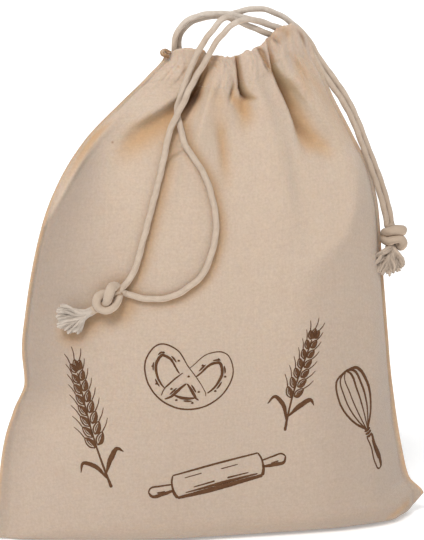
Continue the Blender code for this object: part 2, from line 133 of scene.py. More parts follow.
# Place across and height, along the foot and along each rim.
FOOT_LIFT = (
    (-152, 1.2), (-134, 0), (0, 0), (124, 0), (134, 1), (143, 5), (152, 14),
)
FRONT_RIM = (
    (-33, 326), (-24, 330), (-12, 329.6), (-5, 325.5), (4, 325), (11, 323.4), (19, 328.8), (26, 331.4),
    (33, 334.6), (39, 341), (47, 344.6), (56, 344.2), (61, 341), (65, 335), (68.5, 327.5),
)
BACK_RIM = (
    (-33, 326), (-22, 320), (-8, 317), (6, 315.5), (20, 317), (34, 321), (46, 325), (57, 326.5),
    (68.5, 327.5),
)

# The fields of Fold in each row.
FRONT_FOLDS = {
    "slit": (
        (-5, 336, 1.4, -2.4, -0.5), (-6.8, 324, 1.5, -4, -0.5), (-9.8, 315, 1.7, -6, -0.6),
        (-13.6, 305, 2, -9, -0.7), (-16.6, 299, 2.4, -10.5, -0.7), (-21.5, 293, 3.4, -8, -0.6),
        (-27, 287, 5, -4, -0.5), (-34, 281, 7, -1, -0.2),
    ),
    "slit ridge": (
        (1, 330, 3, 1, 0.3), (-3.6, 314, 3.4, 2.8, 0.5), (-8.8, 300, 4, 4.2, 0.5),
        (-15, 283, 5, 4, 0.5), (-19.2, 267, 6.5, 2.8, 0.4), (-22, 252, 9, 0.8, 0.3),
    ),
    "left shoulder": (
        (-24, 303, 3.5, 1.6), (-37.5, 296, 4.2, 3.2), (-48, 290, 5, 4.2), (-60, 284, 5.8, 4.6),
        (-71, 276, 6.4, 4.4), (-79, 266, 7, 3.8), (-84, 254, 9, 2.4), (-86, 238, 12, 0.7),
    ),
    "left hollow": (
        (-20.5, 299, 3.5, -2), (-33, 288.5, 5, -5), (-45.5, 280, 6.5, -6.2), (-57.5, 271.5, 8, -5.4),
        (-65, 263, 9, -3.2), (-70, 252, 10, -0.8),
    ),
    "left flank": (
        (-57, 289, 3.5, -1, 0.4), (-76, 272, 4.5, -3.6, 0.5), (-88, 256, 5.5, -4.4, 0.5),
        (-98, 240, 6.5, -4.6, 0.5), (-106, 224, 8, -4.4, 0.5), (-111.5, 202, 10, -4.2, 0.4),
        (-117, 170, 12, -3.2, 0.3), (-122, 135, 12, -1.6),
    ),
    "left ridge": (
        (-66, 290, 2, 1), (-85, 271, 2.2, 1.8), (-95.5, 255, 2.4, 2.2), (-104.5, 240, 2.2, 2),
        (-112.5, 225, 1.8, 1), (-116.5, 212, 1.6, 0.2),
    ),
    "right swell": (
        (97, 248, 8, 0.8), (94.5, 228, 8, 1.6), (88, 212, 8, 1.8), (79, 198, 8, 1.6), (68, 189, 9, 1.2),
        (54, 182, 10, 0.5),
    ),
    "small crease": (
        (-39.5, 257.5, 1.3, -0.5), (-35, 259.7, 1.5, -2.6), (-30, 262.2, 1.5, -2.4),
        (-26, 264.5, 1.4, -0.4),
    ),
    "below crease": ((-31, 258, 3, 1.2), (-35, 246, 4.5, 1.4), (-40, 230, 6, 0.5)),
    "pleat": (
        (11.8, 334, 1.1, -5.5, 0.5), (12.3, 323, 1.2, -7.5, 0.5), (12.9, 313, 1.3, -8.5, 0.5),
        (13.8, 305, 1.5, -8, 0.4), (15.6, 300.4, 1.7, -7, 0.3), (18.2, 297.8, 1.7, -4.6, 0.1),
        (22.5, 296.4, 2, -1.4, 0), (26, 296, 2.4, -0.2, 0),
    ),
    "pleat shade": (
        (14.6, 303, 3, -2), (16.6, 295.5, 4.4, -6), (16.4, 289, 4.6, -4.6), (15.4, 281, 5, -1.8),
        (15, 272, 6.5, -0.2),
    ),
    "pleat side": (
        (9.6, 312, 1, -0.8), (8.6, 306, 1.2, -2.2), (6.4, 299, 1.5, -2.6), (5.4, 294.5, 1.6, -0.6),
    ),
    "pleat pocket": ((9.6, 303, 2.4, -1.4), (9.8, 297, 3.2, -2.4), (11, 290, 4, -1.2)),
    "pleat lobe": ((4, 328, 3.4, 1.6), (3.4, 314, 3.8, 2.8), (3, 300, 4.6, 2), (0, 286, 6, 0.5)),
    "soft trough": (
        (-3.4, 282, 3, -0.8), (-1, 274, 3.8, -3.6), (0.8, 262, 4.4, -3.8), (1.4, 250, 5.6, -2.4),
        (0.4, 232, 9, -0.6),
    ),
    "puff": (
        (20.5, 327, 3.6, 1.6), (22, 316, 4.2, 2.8), (24.5, 305, 5.2, 3.6), (28, 292, 7, 4.2),
        (32, 274, 9, 4.2), (36, 252, 12, 3.6), (39, 226, 17, 2.6), (42, 196, 24, 1.2),
    ),
    "right slit top": (
        (26.6, 331, 1, -2.4), (30.5, 324, 1.1, -4.2), (34, 317.6, 1.3, -4.4), (36.6, 313, 1.6, -1),
    ),
    "right fold": (
        (33, 338, 0.9, -1.5, 0.3), (35.2, 326, 1.1, -3.6, 0.4), (37.6, 316, 1.7, -8, 0.5),
        (40.8, 307, 2.6, -11, 0.65), (44.4, 299, 3.8, -10.5, 0.75), (48.2, 290, 4.8, -9.5, 0.78),
        (51.6, 281, 6, -8, 0.75), (54.4, 273, 7.2, -6, 0.6), (58, 265, 8.5, -3, 0.4),
        (62, 256, 10, -0.8, 0.2),
    ),
    "right hollow": (
        (55, 276, 6, -2), (63, 269.5, 7, -4.6), (71, 264, 7.4, -4.4), (79, 257, 8, -1.8),
        (85, 250, 8, -0.4),
    ),
    "right ridge": (
        (40, 338, 3, 1.4), (43.5, 324, 3.4, 2.8), (50.5, 312, 4, 3.8), (59.5, 301, 5, 4.4),
        (70, 289, 6, 4.6), (81, 276, 7, 4.2), (88.5, 262, 9, 3.4), (91.5, 244, 12, 2.4),
        (92, 220, 16, 1.2),
    ),
    "grey trough": (
        (46.5, 266, 4, -1), (49.5, 246, 6, -2.6), (54, 224, 9, -2.4), (58, 198, 13, -1.2),
        (62, 176, 16, -0.3),
    ),
    "tip pucker a": ((54, 336, 1.6, -0.6), (55, 318, 1.5, -1.1), (56.8, 303, 2.2, -0.3)),
    "tip pucker b": ((59, 320, 1.4, -0.5), (60.6, 306, 1.7, -1), (63.6, 291, 2.6, -0.2)),
    "tip fold": ((34, 337.5, 1.3, -0.9), (38.5, 333.5, 1.5, -1.2), (42.5, 329, 1.6, -0.3)),
    "casing pucker a": ((-31.6, 323, 1.6, -0.5), (-32.4, 308, 2.4, -0.8)),
    "casing pucker b": ((-21.2, 331, 1.5, -0.7), (-21.4, 320, 1.7, -1.2), (-23.2, 304, 2.6, -0.4)),
    "casing pucker c": ((-27.2, 318, 1.6, -0.4), (-30.6, 300, 2.8, -0.5)),
    "right turn": ((110, 178, 9, 1.5), (107, 120, 9, 2.4), (106, 60, 10, 2.2), (106, 26, 11, 1)),
    "ear fold": ((114, 16, 4, 0.4), (124, 18, 3.6, 1.4), (136, 19, 3, 1.4), (146, 18, 3, 0.3)),
    "ear hollow": ((121, 8, 4, -0.8), (131, 10, 4, -2.2), (141, 13, 3, -0.9)),
    "left notch": ((-126, 106, 8, -1.8), (-104, 102, 10, -0.4)),
}
BACK_FOLDS = {
    "left slit": (
        (-14, 322, 1.8, -6, 0.4), (-20, 300, 2.6, -8, 0.5), (-30, 282, 4.4, -5.4, 0.5),
        (-64, 252, 12, -2.5, 0.2),
    ),
    "middle slit": (
        (8, 320, 1.6, -6.5, -0.4), (6, 300, 2.2, -7, -0.5), (4, 284, 4, -4.4, -0.4), (0, 262, 9, -1),
    ),
    "right slit": (
        (30, 324, 1.8, -6.5, -0.4), (34, 304, 2.6, -8, -0.6), (42, 286, 4.6, -5.5, -0.5),
        (62, 252, 12, -2),
    ),
    "middle ridge": ((18, 312, 5, 2.4), (18, 288, 8, 3.4), (16, 250, 15, 2.4), (14, 200, 24, 1.4)),
    "left ridge": ((-32, 296, 5, 2.2), (-48, 278, 8, 3.4), (-68, 246, 13, 2.6), (-84, 206, 19, 1.4)),
    "right ridge": ((54, 300, 5, 2.2), (66, 280, 8, 3.4), (82, 248, 13, 2.6), (96, 208, 19, 1.4)),
    "middle trough": (
        (-6, 292, 5, -1.6), (-8, 270, 8, -2.6), (-12, 236, 13, -1.8), (-12, 190, 18, -0.8),
    ),
    "left notch": ((-130, 108, 6, -3), (-92, 96, 10, -0.5)),
    "right notch": ((124, 120, 6, -2.6), (90, 104, 10, -0.5)),
}

# Fold lines whose hollows get no painted warm shade.
COOL_FOLDS = ("left flank", "left notch", "right notch", "grey trough", "ear hollow")

# Patches of small dents: the middle, half sizes, height and the size of a dent.
FRONT_CRUMPLES = (
    (59, 316, 11, 18, 1.4, 3.8), (68, 300, 9, 14, 0.8, 3.6), (-26, 316, 9, 9, 0.6, 3),
    (-44, 300, 12, 8, 0.7, 5), (34, 333, 8, 9, 1.8, 2.8), (2, 322, 12, 6, 1.5, 2.6),
    (10, 290, 10, 10, 0.7, 5), (24, 324, 8, 8, 1.1, 3),
)
BACK_CRUMPLES = (
    (50, 308, 16, 18, 1, 5), (-22, 305, 16, 14, 1, 5), (16, 300, 18, 16, 0.8, 5),
)

# Painted warm shade and painted dark shade in the folds: place, half width and strength along each line.
WARM_SHADE_LINES = {
    "left edge": (
        (-70, 284, 1, 0.2), (-78.8, 276.2, 1.4, 1), (-88.7, 264.4, 1.5, 1), (-97, 251.7, 1.4, 0.6),
        (-104, 239, 1.2, 0.1),
    ),
    "ear patch": ((53, 326, 3, 0.15), (56.5, 317, 5, 0.6), (61, 305, 5, 0.5), (65, 296, 4, 0.1)),
    "right flank": (
        (60, 322, 4, 0.3), (66, 310, 5, 0.45), (75, 296, 6, 0.45), (83, 284, 5.5, 0.5),
        (93, 271, 5, 0.5), (101.5, 258, 3.5, 0.35), (106, 246, 3, 0.1),
    ),
    "pleat pocket": (
        (10, 306, 1.6, 0.3), (8.6, 299, 2.6, 0.8), (12.5, 294, 4, 1), (16, 289, 5, 0.8),
        (15, 279, 6, 0.2),
    ),
    "below slit": (
        (-6, 308, 3, 0.1), (-3, 300, 6, 0.35), (-2, 288, 7, 0.3), (-1, 274, 4, 0.6),
        (-0.6, 260, 3.6, 0.5), (0, 242, 5, 0.1),
    ),
    "slit side": (
        (-7, 322, 2, 0.5), (-12.5, 309, 3.2, 1), (-19, 298, 5, 0.95), (-30, 287, 6, 0.75),
        (-44, 275, 7, 0.6), (-56, 268, 8, 0.35), (-64, 258, 8, 0.05),
    ),
    "ear pocket": ((118, 5, 2.6, 0.5), (126, 8.5, 3.8, 0.9), (136, 10.5, 3.6, 0.8)),
}
# Painted dark shade deep in the slits and pleats.
DARK_SHADE_LINES = {
    "slit": (
        (-8, 318, 1.4, 0.3), (-12.6, 308, 1.7, 0.6), (-15.8, 300, 2.5, 1), (-20.4, 294.3, 2.2, 0.9),
        (-27, 287.4, 1.8, 0.5), (-31, 284, 1.4, 0.1),
    ),
    "pleat": (
        (11.2, 323, 0.8, 0.5), (11.8, 314, 0.9, 0.7), (13.2, 305, 1.1, 0.8), (15.8, 299.4, 1.5, 0.9),
        (20, 297.4, 1, 0.3),
    ),
    "pleat left": (
        (9.4, 311, 0.6, 0.1), (9, 307, 0.7, 0.5), (7.2, 300, 0.9, 0.6), (6.6, 296.5, 0.8, 0.1),
    ),
    "right fold": (
        (36.4, 315, 1, 0.5), (41.1, 305.6, 1.5, 1), (46.1, 295.2, 1.7, 0.7), (50.5, 284, 1.9, 0.35),
        (55.1, 276.5, 2.6, 0.15), (64, 269, 3, 0),
    ),
    "short slit": ((29.6, 321.4, 0.6, 0.2), (31.8, 318.5, 0.8, 0.8), (34.1, 315, 0.6, 0.3)),
    "ear twist": ((35, 338.4, 0.7, 0.2), (38.6, 335.4, 0.9, 0.7), (42.8, 333, 0.6, 0.2)),
    "lip twist": (
        (26.6, 330.2, 0.7, 0.4), (30.2, 328.8, 0.9, 0.7), (32.7, 324.2, 0.7, 0.4),
        (34.9, 318.4, 0.6, 0.2),
    ),
    "ear side": ((55, 342, 0.9, 0.2), (58.6, 338, 1.2, 0.7), (61.6, 331, 1, 0.4)),
}

# Painted shade where the front turns away to one side: the height, the edge, its softness and strength.
LEFT_TURN = (
    (0, -152, 10, 0.2), (40, -149, 12, 0.4), (80, -141, 15, 0.65), (108, -131, 28, 0.9),
    (150, -130, 38, 0.95), (190, -122, 38, 0.95), (217, -113, 30, 0.95), (236, -101.5, 20, 0.95),
    (256, -91, 14, 0.9), (266, -85, 10, 0.75), (278, -73, 7, 0.4), (294, -58, 5, 0),
)
RIGHT_TURN = (
    (0, 66, 50, 0.9), (60, 62, 46, 0.9), (120, 57, 40, 0.9), (160, 53, 34, 0.95), (178, 56, 24, 0.95),
    (189, 63, 17, 0.95), (196, 72, 13, 0.95), (206, 84.5, 10, 0.95), (226, 92.5, 8, 0.95),
    (260, 97, 7, 0.8), (274, 101, 7, 0.4), (288, 106, 6, 0),
)
RIGHT_TURN_SHARE = 0.38
LEFT_EDGE_FROM = 214
LEFT_EDGE_SOFT = 2.6

# The warm shade beside the cords, and the way that the key light shines.
CORD_SHADE_OFF = (3.6, -1.8)
CORD_SHADE_REACH = 4.4
KNOT_SHADE_SIZE = 1.9
FROM_KEY = (0.45, 0.35, -0.82)

# Drawcord routes

LEFT_ROUTE_A = (
    (43.7, -5, 342.1), (35.8, -6, 345.9), (27.3, -9.5, 348.6), (20.2, -13.5, 349.5),
    (14.3, -16.5, 349.1), (9.7, -18.5, 347.3), (5.9, -19, 344.7), (2.5, -20, 341.5),
    (-1.3, -20.6, 337.7), (-4.3, -21, 333.8), (-6.8, -21.3, 329.9), (-8.8, -21.1, 326),
    (-11.9, -21, 320.7), (-15.3, -21.2, 315.6), (-19.1, -23.1, 309.8), (-22.8, -25.9, 304.5),
    (-25.6, -26.6, 298.4), (-28.8, -27.1, 292.3), (-32.1, -28.4, 287.2), (-34.4, -28, 282.3),
    (-36.5, -29, 277.5), (-38, -29.5, 272.3), (-39.4, -30.6, 266.5), (-43, -33.6, 253.1),
    (-46.9, -36.1, 240.3), (-51.1, -38.3, 226.8), (-57.7, -40.8, 204.9), (-62.7, -41.9, 189.3),
    (-66.2, -42.3, 182.9), (-71.4, -43.4, 177.6),
)
LEFT_ROUTE_B = (
    (38.2, -5, 338.5), (30.2, -6.5, 341.7), (22.8, -8.5, 344.6), (16.1, -10.5, 347.4),
    (10.2, -12.5, 349.7), (5.9, -14.5, 351.2), (2.1, -16.5, 350.2), (-2.1, -18.3, 346.7),
    (-5.9, -19.5, 342.3), (-9.3, -20, 338.4), (-12.2, -20, 334.2), (-14.5, -19.7, 330.2),
    (-16.3, -19.3, 326.6), (-19.2, -19.1, 320.4), (-22.1, -19.8, 313.3), (-25.4, -21.9, 305.8),
    (-28, -22.3, 299.1), (-29.8, -22, 292.5), (-30, -23.7, 286.7), (-29.1, -26.8, 281.7),
    (-28.5, -29.4, 276.7), (-27.4, -31.5, 270.9), (-24.8, -33.4, 265.4), (-21.1, -34.6, 259.9),
    (-17, -35.9, 253.3), (-13.3, -37.5, 245.4), (-10.5, -39.9, 235.1), (-8.4, -42.6, 221.4),
    (-8.7, -43.9, 212.3), (-10.3, -44.9, 203.9), (-13.9, -46, 193.5), (-18.1, -46.8, 185.1),
    (-27.7, -47.2, 176.9), (-36.4, -47.1, 171.9), (-43.7, -46.7, 169.9), (-50.2, -46, 169.6),
    (-56.7, -45, 170), (-62.6, -43.8, 171.3), (-69, -42.8, 173.5),
)
RIGHT_ROUTE_A = (
    (-26.4, 0.8, 321.1), (-26.8, 0.5, 327.8), (-27, -0.5, 334.5), (-24.8, -1.5, 341.8),
    (-18.7, -1.5, 348.4), (-9.8, -1.5, 351.9), (0.5, -1.5, 353.1), (11, -0.5, 352.3), (20.3, 1, 350.1),
    (29.1, 3, 347.9), (38.6, 5, 345), (47.4, 6.5, 342.4), (55.8, 6.5, 339), (63.1, 4.4, 333.3),
    (68.7, 1.6, 325.4), (74, 0.5, 315.4), (79.4, -0.5, 307.3), (84.3, -1, 300.5), (89.1, -1.5, 293.6),
    (93.1, -1.5, 286.7), (96.7, -1.6, 279.8), (100, -1.8, 272.2), (102.9, -2, 264.6),
    (106.2, -2.2, 256.2), (110, -2.4, 246.5), (114, -2.6, 236), (117.3, -3.2, 225.6),
    (119.7, -4.2, 216), (121.2, -5, 207.4),
)
RIGHT_ROUTE_B = (
    (-21.7, 2.3, 320.9), (-22.8, 3.4, 327.5), (-23.5, 3.2, 334.2), (-21.4, 3.2, 340.8),
    (-15.6, 3.2, 346.7), (-7.4, 3.2, 350), (2.3, 3.4, 351.2), (12.2, 4.7, 352), (19.6, 6.5, 353.8),
    (26.7, 7.5, 355.2), (35.2, 8, 355.3), (43.8, 9, 352.8), (51.8, 10, 348.9), (58.8, 10, 343.5),
    (65.5, 8.5, 337), (69.9, 6.5, 330.3), (74.1, 5, 322.6), (79.8, 3.5, 314.4), (85.2, 2.5, 307),
    (90, 2, 300.1), (94.3, 1.5, 293.2), (98, 1.5, 286.3), (101.1, 1.5, 279.4), (104.4, 1.5, 271.8),
    (107.3, 1.5, 264.1), (110.9, 1.5, 255.8), (114.9, 1.5, 246), (118.9, 1.3, 235.5), (122.2, 0.8, 225),
    (124.3, -1, 215.5), (125.3, -2.3, 207.3),
)

# Each knot's tie, in millimetres from its centre: right, towards the viewer, up.
LEFT_TIE = (
    (7.4, -0.4, 5.2), (4.6, -0.8, 4.2), (0.6, -1.4, 2.2), (-4.2, -1.2, 3), (-7.6, 0.4, 0.6),
    (-7.2, 1.8, -4.8), (-2.6, 2.6, -7.2), (2.4, 2.4, -5.2), (5.4, 1, -1.2), (6.2, -1.4, 4.8),
    (4.2, -0.6, 7.8), (1.8, 2, 8.2), (0.4, 4, 4.8), (-0.8, 3.9, 0.8), (-2.4, 1.2, -2.6),
    (-5.4, -0.8, -4.6), (-9, -1, -6.6), (-12.6, -1.4, -8.6), (-15.4, -1.8, -10.2),
)
LEFT_GIRTH = (
    2.7, 2.8, 2.9, 3, 3, 3, 2.8, 2.5, 2.4, 2.6, 2.9, 3.1, 3.2, 3.2, 2.9, 2.8, 2.8, 2.7, 2,
)

# Where the ends of each knot's frayed locks lie, from the same centre.
LEFT_FAN = (
    (-33, -2.6, -5), (-35.6, -3.6, -9.5), (-36, -4.2, -14), (-35, -4.4, -18.5), (-32, -4, -22.5),
    (-27, -3.2, -24.6), (-21.5, -2.4, -23.6),
)
RIGHT_TIE = (
    (-1.8, -1.4, 8), (-0.4, -2.2, 3), (2.2, -2, -2.4), (4.6, -0.4, -6.2), (6.2, 1.6, -4),
    (4.6, 3.2, -0.8), (0.2, 4.2, -0.6), (-4.4, 3.4, -1.8), (-6.6, 0.6, -0.8), (-5.4, -2.6, 2.8),
    (0, -3.6, 5), (5.4, -1.4, 5.6), (6, 1.6, 5), (2.6, 3.6, 5.6), (-2.8, 3.6, 5), (-6, 1.2, 4),
    (-5.2, -1.8, 0.4), (-3, -0.8, -3), (-2.4, 0.6, -6.4),
)
RIGHT_GIRTH = (
    2.8, 2.9, 3, 3, 3.1, 3.1, 3.1, 3.1, 3, 3, 3, 3, 3.1, 3.2, 3.2, 3, 2.9, 2.7, 2,
)
RIGHT_FAN = (
    (-16.5, 13, -11.5), (-18, 14.5, -16.5), (-15.5, 14.8, -21.5), (-9.5, 13, -24.4), (-2.5, 10, -24.6),
    (3.6, 7, -22.8), (9.4, 3, -19),
)


# Reading tables and noise


def between(values: Numbers, slopes: Numbers, index: Numbers, step: Numbers, t: Numbers) -> Numbers:
    """Read a smooth curve through values between two neighbours.

    Args:
        values: The values that the curve goes through.
        slopes: How steep it is at each of them.
        index: The neighbour before each place.
        step: Distance from it to the next one.
        t: The share of that distance, from 0 to 1.

    Returns:
        The curve's value at each place.
    """
    return (
        values[index] * (2 * t**3 - 3 * t**2 + 1)
        + values[index + 1] * (3 * t**2 - 2 * t**3)
        + step * slopes[index] * (t**3 - 2 * t**2 + t)
        + step * slopes[index + 1] * (t**3 - t**2)
    )


def smooth_read(keys: Sequence[float], values: Sequence[float], where: Numbers) -> Numbers:
    """Read a table on a smooth curve that never swings past its points.

    Args:
        keys: Rising places of the table.
        values: Value at each place.
        where: Places to read.

    Returns:
        The values there.
    """
    keys, values = np.asarray(keys, float), np.asarray(values, float)
    where = np.clip(np.asarray(where, float), keys[0], keys[-1])
    steps = np.diff(keys)
    secants = np.diff(values) / steps
    before, after = secants[:-1], secants[1:]
    same_way = before * after > 0.0
    total = np.where(same_way, before + after, 1.0)
    inner = np.where(same_way, 2.0 * before * after / total, 0.0)
    slopes = np.concatenate([secants[:1], inner, secants[-1:]])
    index = np.clip(np.searchsorted(keys, where, side="right") - 1, 0, len(steps) - 1)
    return between(values, slopes, index, steps[index], (where - keys[index]) / steps[index])


def soft_step(value: Numbers) -> Numbers:
    """A smooth rise from 0 to 1 over the same range."""
    value = np.clip(value, 0.0, 1.0)
    return value * value * (3.0 - 2.0 * value)


def ramp(value: Numbers, start: float, over: float) -> Numbers:
    """A smooth rise from 0 at a start to 1 some way further on."""
    return soft_step((value - start) / over)


def bell(off: Numbers) -> Numbers:
    """A smooth fall from 1 in the middle to 0 on both sides."""
    return np.exp(-(off**2))


def cloth_noise(x: Numbers, y: Numbers, seed: int) -> Numbers:
    """Smooth seeded noise over a plane.

    Args:
        x: Places along the first direction, one lattice cell for each unit.
        y: Places along the second direction.
        seed: Which noise field.

    Returns:
        Noise from -1 to 1.
    """
    x, y = np.broadcast_arrays(np.asarray(x, float), np.asarray(y, float))
    lattice = np.random.default_rng(seed).uniform(-1.0, 1.0, (64, 64))
    cell_x, cell_y = np.floor(x).astype(int), np.floor(y).astype(int)
    tx, ty = soft_step(x - cell_x), soft_step(y - cell_y)
    corner = lattice[cell_x % 64, cell_y % 64]
    right = lattice[(cell_x + 1) % 64, cell_y % 64]
    above = lattice[cell_x % 64, (cell_y + 1) % 64]
    both = lattice[(cell_x + 1) % 64, (cell_y + 1) % 64]
    low = corner + (right - corner) * tx
    high = above + (both - above) * tx
    return low + (high - low) * ty


def smooth_route(points: Iterable[Sequence[float]], step: float) -> Numbers:
    """Points a steady distance apart on a smooth curve through a route's own points.

    Args:
        points: The route's points.
        step: Distance between the points wanted, about.

    Returns:
        The points, one row each.
    """
    points = np.array(list(points), float)
    along, chords = travelled(points), np.linalg.norm(np.diff(points, axis=0), axis=1)
    fine = np.linspace(0.0, along[-1], 40 * len(points))
    slopes = np.gradient(points, along, axis=0)
    index = np.clip(np.searchsorted(along, fine, side="right") - 1, 0, len(chords) - 1)
    chord = chords[index][:, None]
    curve = between(points, slopes, index, chord, (fine - along[index])[:, None] / chord)
    far = travelled(curve)
    stops = np.linspace(0.0, far[-1], max(3, int(round(far[-1] / step)) + 1))
    return np.stack([np.interp(stops, far, column) for column in curve.T], axis=1)


def read_columns(rows: Rows, where: Numbers) -> list[Numbers]:
    """Every other column of a table, read on straight lines between the places in its first."""
    keys, *columns = zip(*rows)
    return [np.interp(where, keys, column) for column in columns]


def travelled(line: Numbers) -> Numbers:
    """Distance along a line at each of its points."""
    return np.concatenate([[0.0], np.cumsum(np.linalg.norm(np.diff(line, axis=0), axis=1))])


def ring(sides: int) -> Numbers:
    """Angles of points round a circle."""
    return np.linspace(0.0, 2.0 * math.pi, sides, endpoint=False)


def ply_lay(along: Numbers, sides: int, pitch: float) -> Numbers:
    """How far three twisted plies stand out round a cord, from -1 to 1."""
    return np.cos(3.0 * ring(sides)[None, :] - 2.0 * math.pi * along[:, None] / pitch)


def unit(vectors: Numbers) -> Numbers:
    """The same directions at length 1."""
    return vectors / np.maximum(np.linalg.norm(vectors, axis=-1, keepdims=True), 1e-12)


def carried_frames(line: Numbers) -> tuple[Numbers, Numbers, Numbers]:
    """Directions carried along a line without twist.

    Args:
        line: Points of the line.

    Returns:
        The direction ahead and two directions across it, at each point.
    """
    ahead = unit(np.gradient(line, axis=0))
    start = np.array([0.0, 0.0, 1.0]) if abs(ahead[0][2]) < 0.9 else np.array([1.0, 0.0, 0.0])
    across = [unit(start - ahead[0] * start.dot(ahead[0]))]
    for way in ahead[1:]:
        last = across[-1]
        across.append(unit(last - way * last.dot(way)))
    across = np.array(across)
    return ahead, across, np.cross(ahead, across)


# Mesh making


@dataclass
class MeshDraft:
    """Points, faces and texture places gathered for one mesh."""

    points: list[Numbers] = field(default_factory=list)
    faces: list[tuple[int, ...]] = field(default_factory=list)
    places: list[Numbers] = field(default_factory=list)
    count: int = 0

    def add(self, points: Numbers, faces: Iterable[Sequence[int]], places: Numbers) -> None:
        """Add a shape.

        Args:
            points: Its points in millimetres.
            faces: Its faces, counted from its own first point.
            places: The texture place of each point.
        """
        self.faces += [tuple(index + self.count for index in face) for face in faces]
        self.points.append(np.asarray(points, float))
        self.places.append(np.asarray(places, float))
        self.count += len(points)

    def make(self, name: str, masks: dict[str, Numbers] | None = None) -> Object:
        """Make the mesh and its object.

        Args:
            name: The piece's name.
            masks: Values for each point, by attribute name.

        Returns:
            The object, riding on the bag's body.
        """
        mesh = bpy.data.meshes.new(name)
        mesh.from_pydata((np.concatenate(self.points) * MM).tolist(), [], self.faces)
        shape = bmesh.new()
        shape.from_mesh(mesh)
        bmesh.ops.recalc_face_normals(shape, faces=shape.faces)
        shape.to_mesh(mesh)
        shape.free()
        mesh.shade_smooth()
        layer = mesh.uv_layers.new(name="cloth_place")
        corners = np.zeros(len(mesh.loops), int)
        mesh.loops.foreach_get("vertex_index", corners)
        layer.data.foreach_set("uv", np.concatenate(self.places)[corners].astype(np.float32).ravel())
        for mask, values in (masks or {}).items():
            attribute = mesh.attributes.new(mask, "FLOAT", "POINT")
            attribute.data.foreach_set("value", np.asarray(values, np.float32).ravel())
        piece = bpy.data.objects.new(name, mesh)
        bpy.context.scene.collection.objects.link(piece)
        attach(piece, BODY)
        LOG.info("%s: %d points, %d faces", name, len(mesh.vertices), len(mesh.polygons))
        return piece


def grid_quads(rows: int, columns: int, flip: bool, wrap: bool = False) -> list[tuple[int, ...]]:
    """Quads of a grid of points.

    Args:
        rows: Number of rows.
        columns: Points in a row.
        flip: Whether the quads face the other way.
        wrap: Whether each row closes on itself.

    Returns:
        The quads.
    """
    row, column = np.meshgrid(np.arange(rows - 1), np.arange(columns - (not wrap)), indexing="ij")
    after = (column + 1) % columns
    quads = np.stack(
        [row * columns + column, row * columns + after, (row + 1) * columns + after,
         (row + 1) * columns + column], axis=-1,
    ).reshape(-1, 4)
    return [tuple(quad) for quad in (quads[:, ::-1] if flip else quads).tolist()]


def tube_faces(rings: int, sides: int) -> list[tuple[int, ...]]:
    """Faces of a closed tube."""
    ends = [tuple(range(sides))[::-1], tuple(range((rings - 1) * sides, rings * sides))]
    return grid_quads(rings, sides, flip=False, wrap=True) + ends


def add_tube(draft: MeshDraft, line: Numbers, radii: Numbers, sides: int) -> None:
    """Add a closed tube along a line.

    Args:
        draft: The mesh that it goes into.
        line: Points of its centre line in millimetres.
        radii: Radius at each point, or at each point and side.
        sides: Points in a ring.
    """
    _, across, other = carried_frames(line)
    turn = ring(sides)
    radii = np.broadcast_to(np.asarray(radii, float).reshape(len(line), -1), (len(line), sides))
    spokes = across[:, None, :] * np.cos(turn)[None, :, None]
    spokes = spokes + other[:, None, :] * np.sin(turn)[None, :, None]
    points = (line[:, None, :] + spokes * radii[:, :, None]).reshape(-1, 3)
    fold = np.abs(np.linspace(-1.0, 1.0, sides, endpoint=False))
    places = np.broadcast_arrays(fold[None, :], travelled(line)[:, None] * MM)
    draft.add(points, tube_faces(len(line), sides), np.stack(places, axis=-1).reshape(-1, 2))


# Shader graphs

Socket = bpy.types.NodeSocket
Outputs = bpy.types.NodeOutputs
Tone = Socket | Color


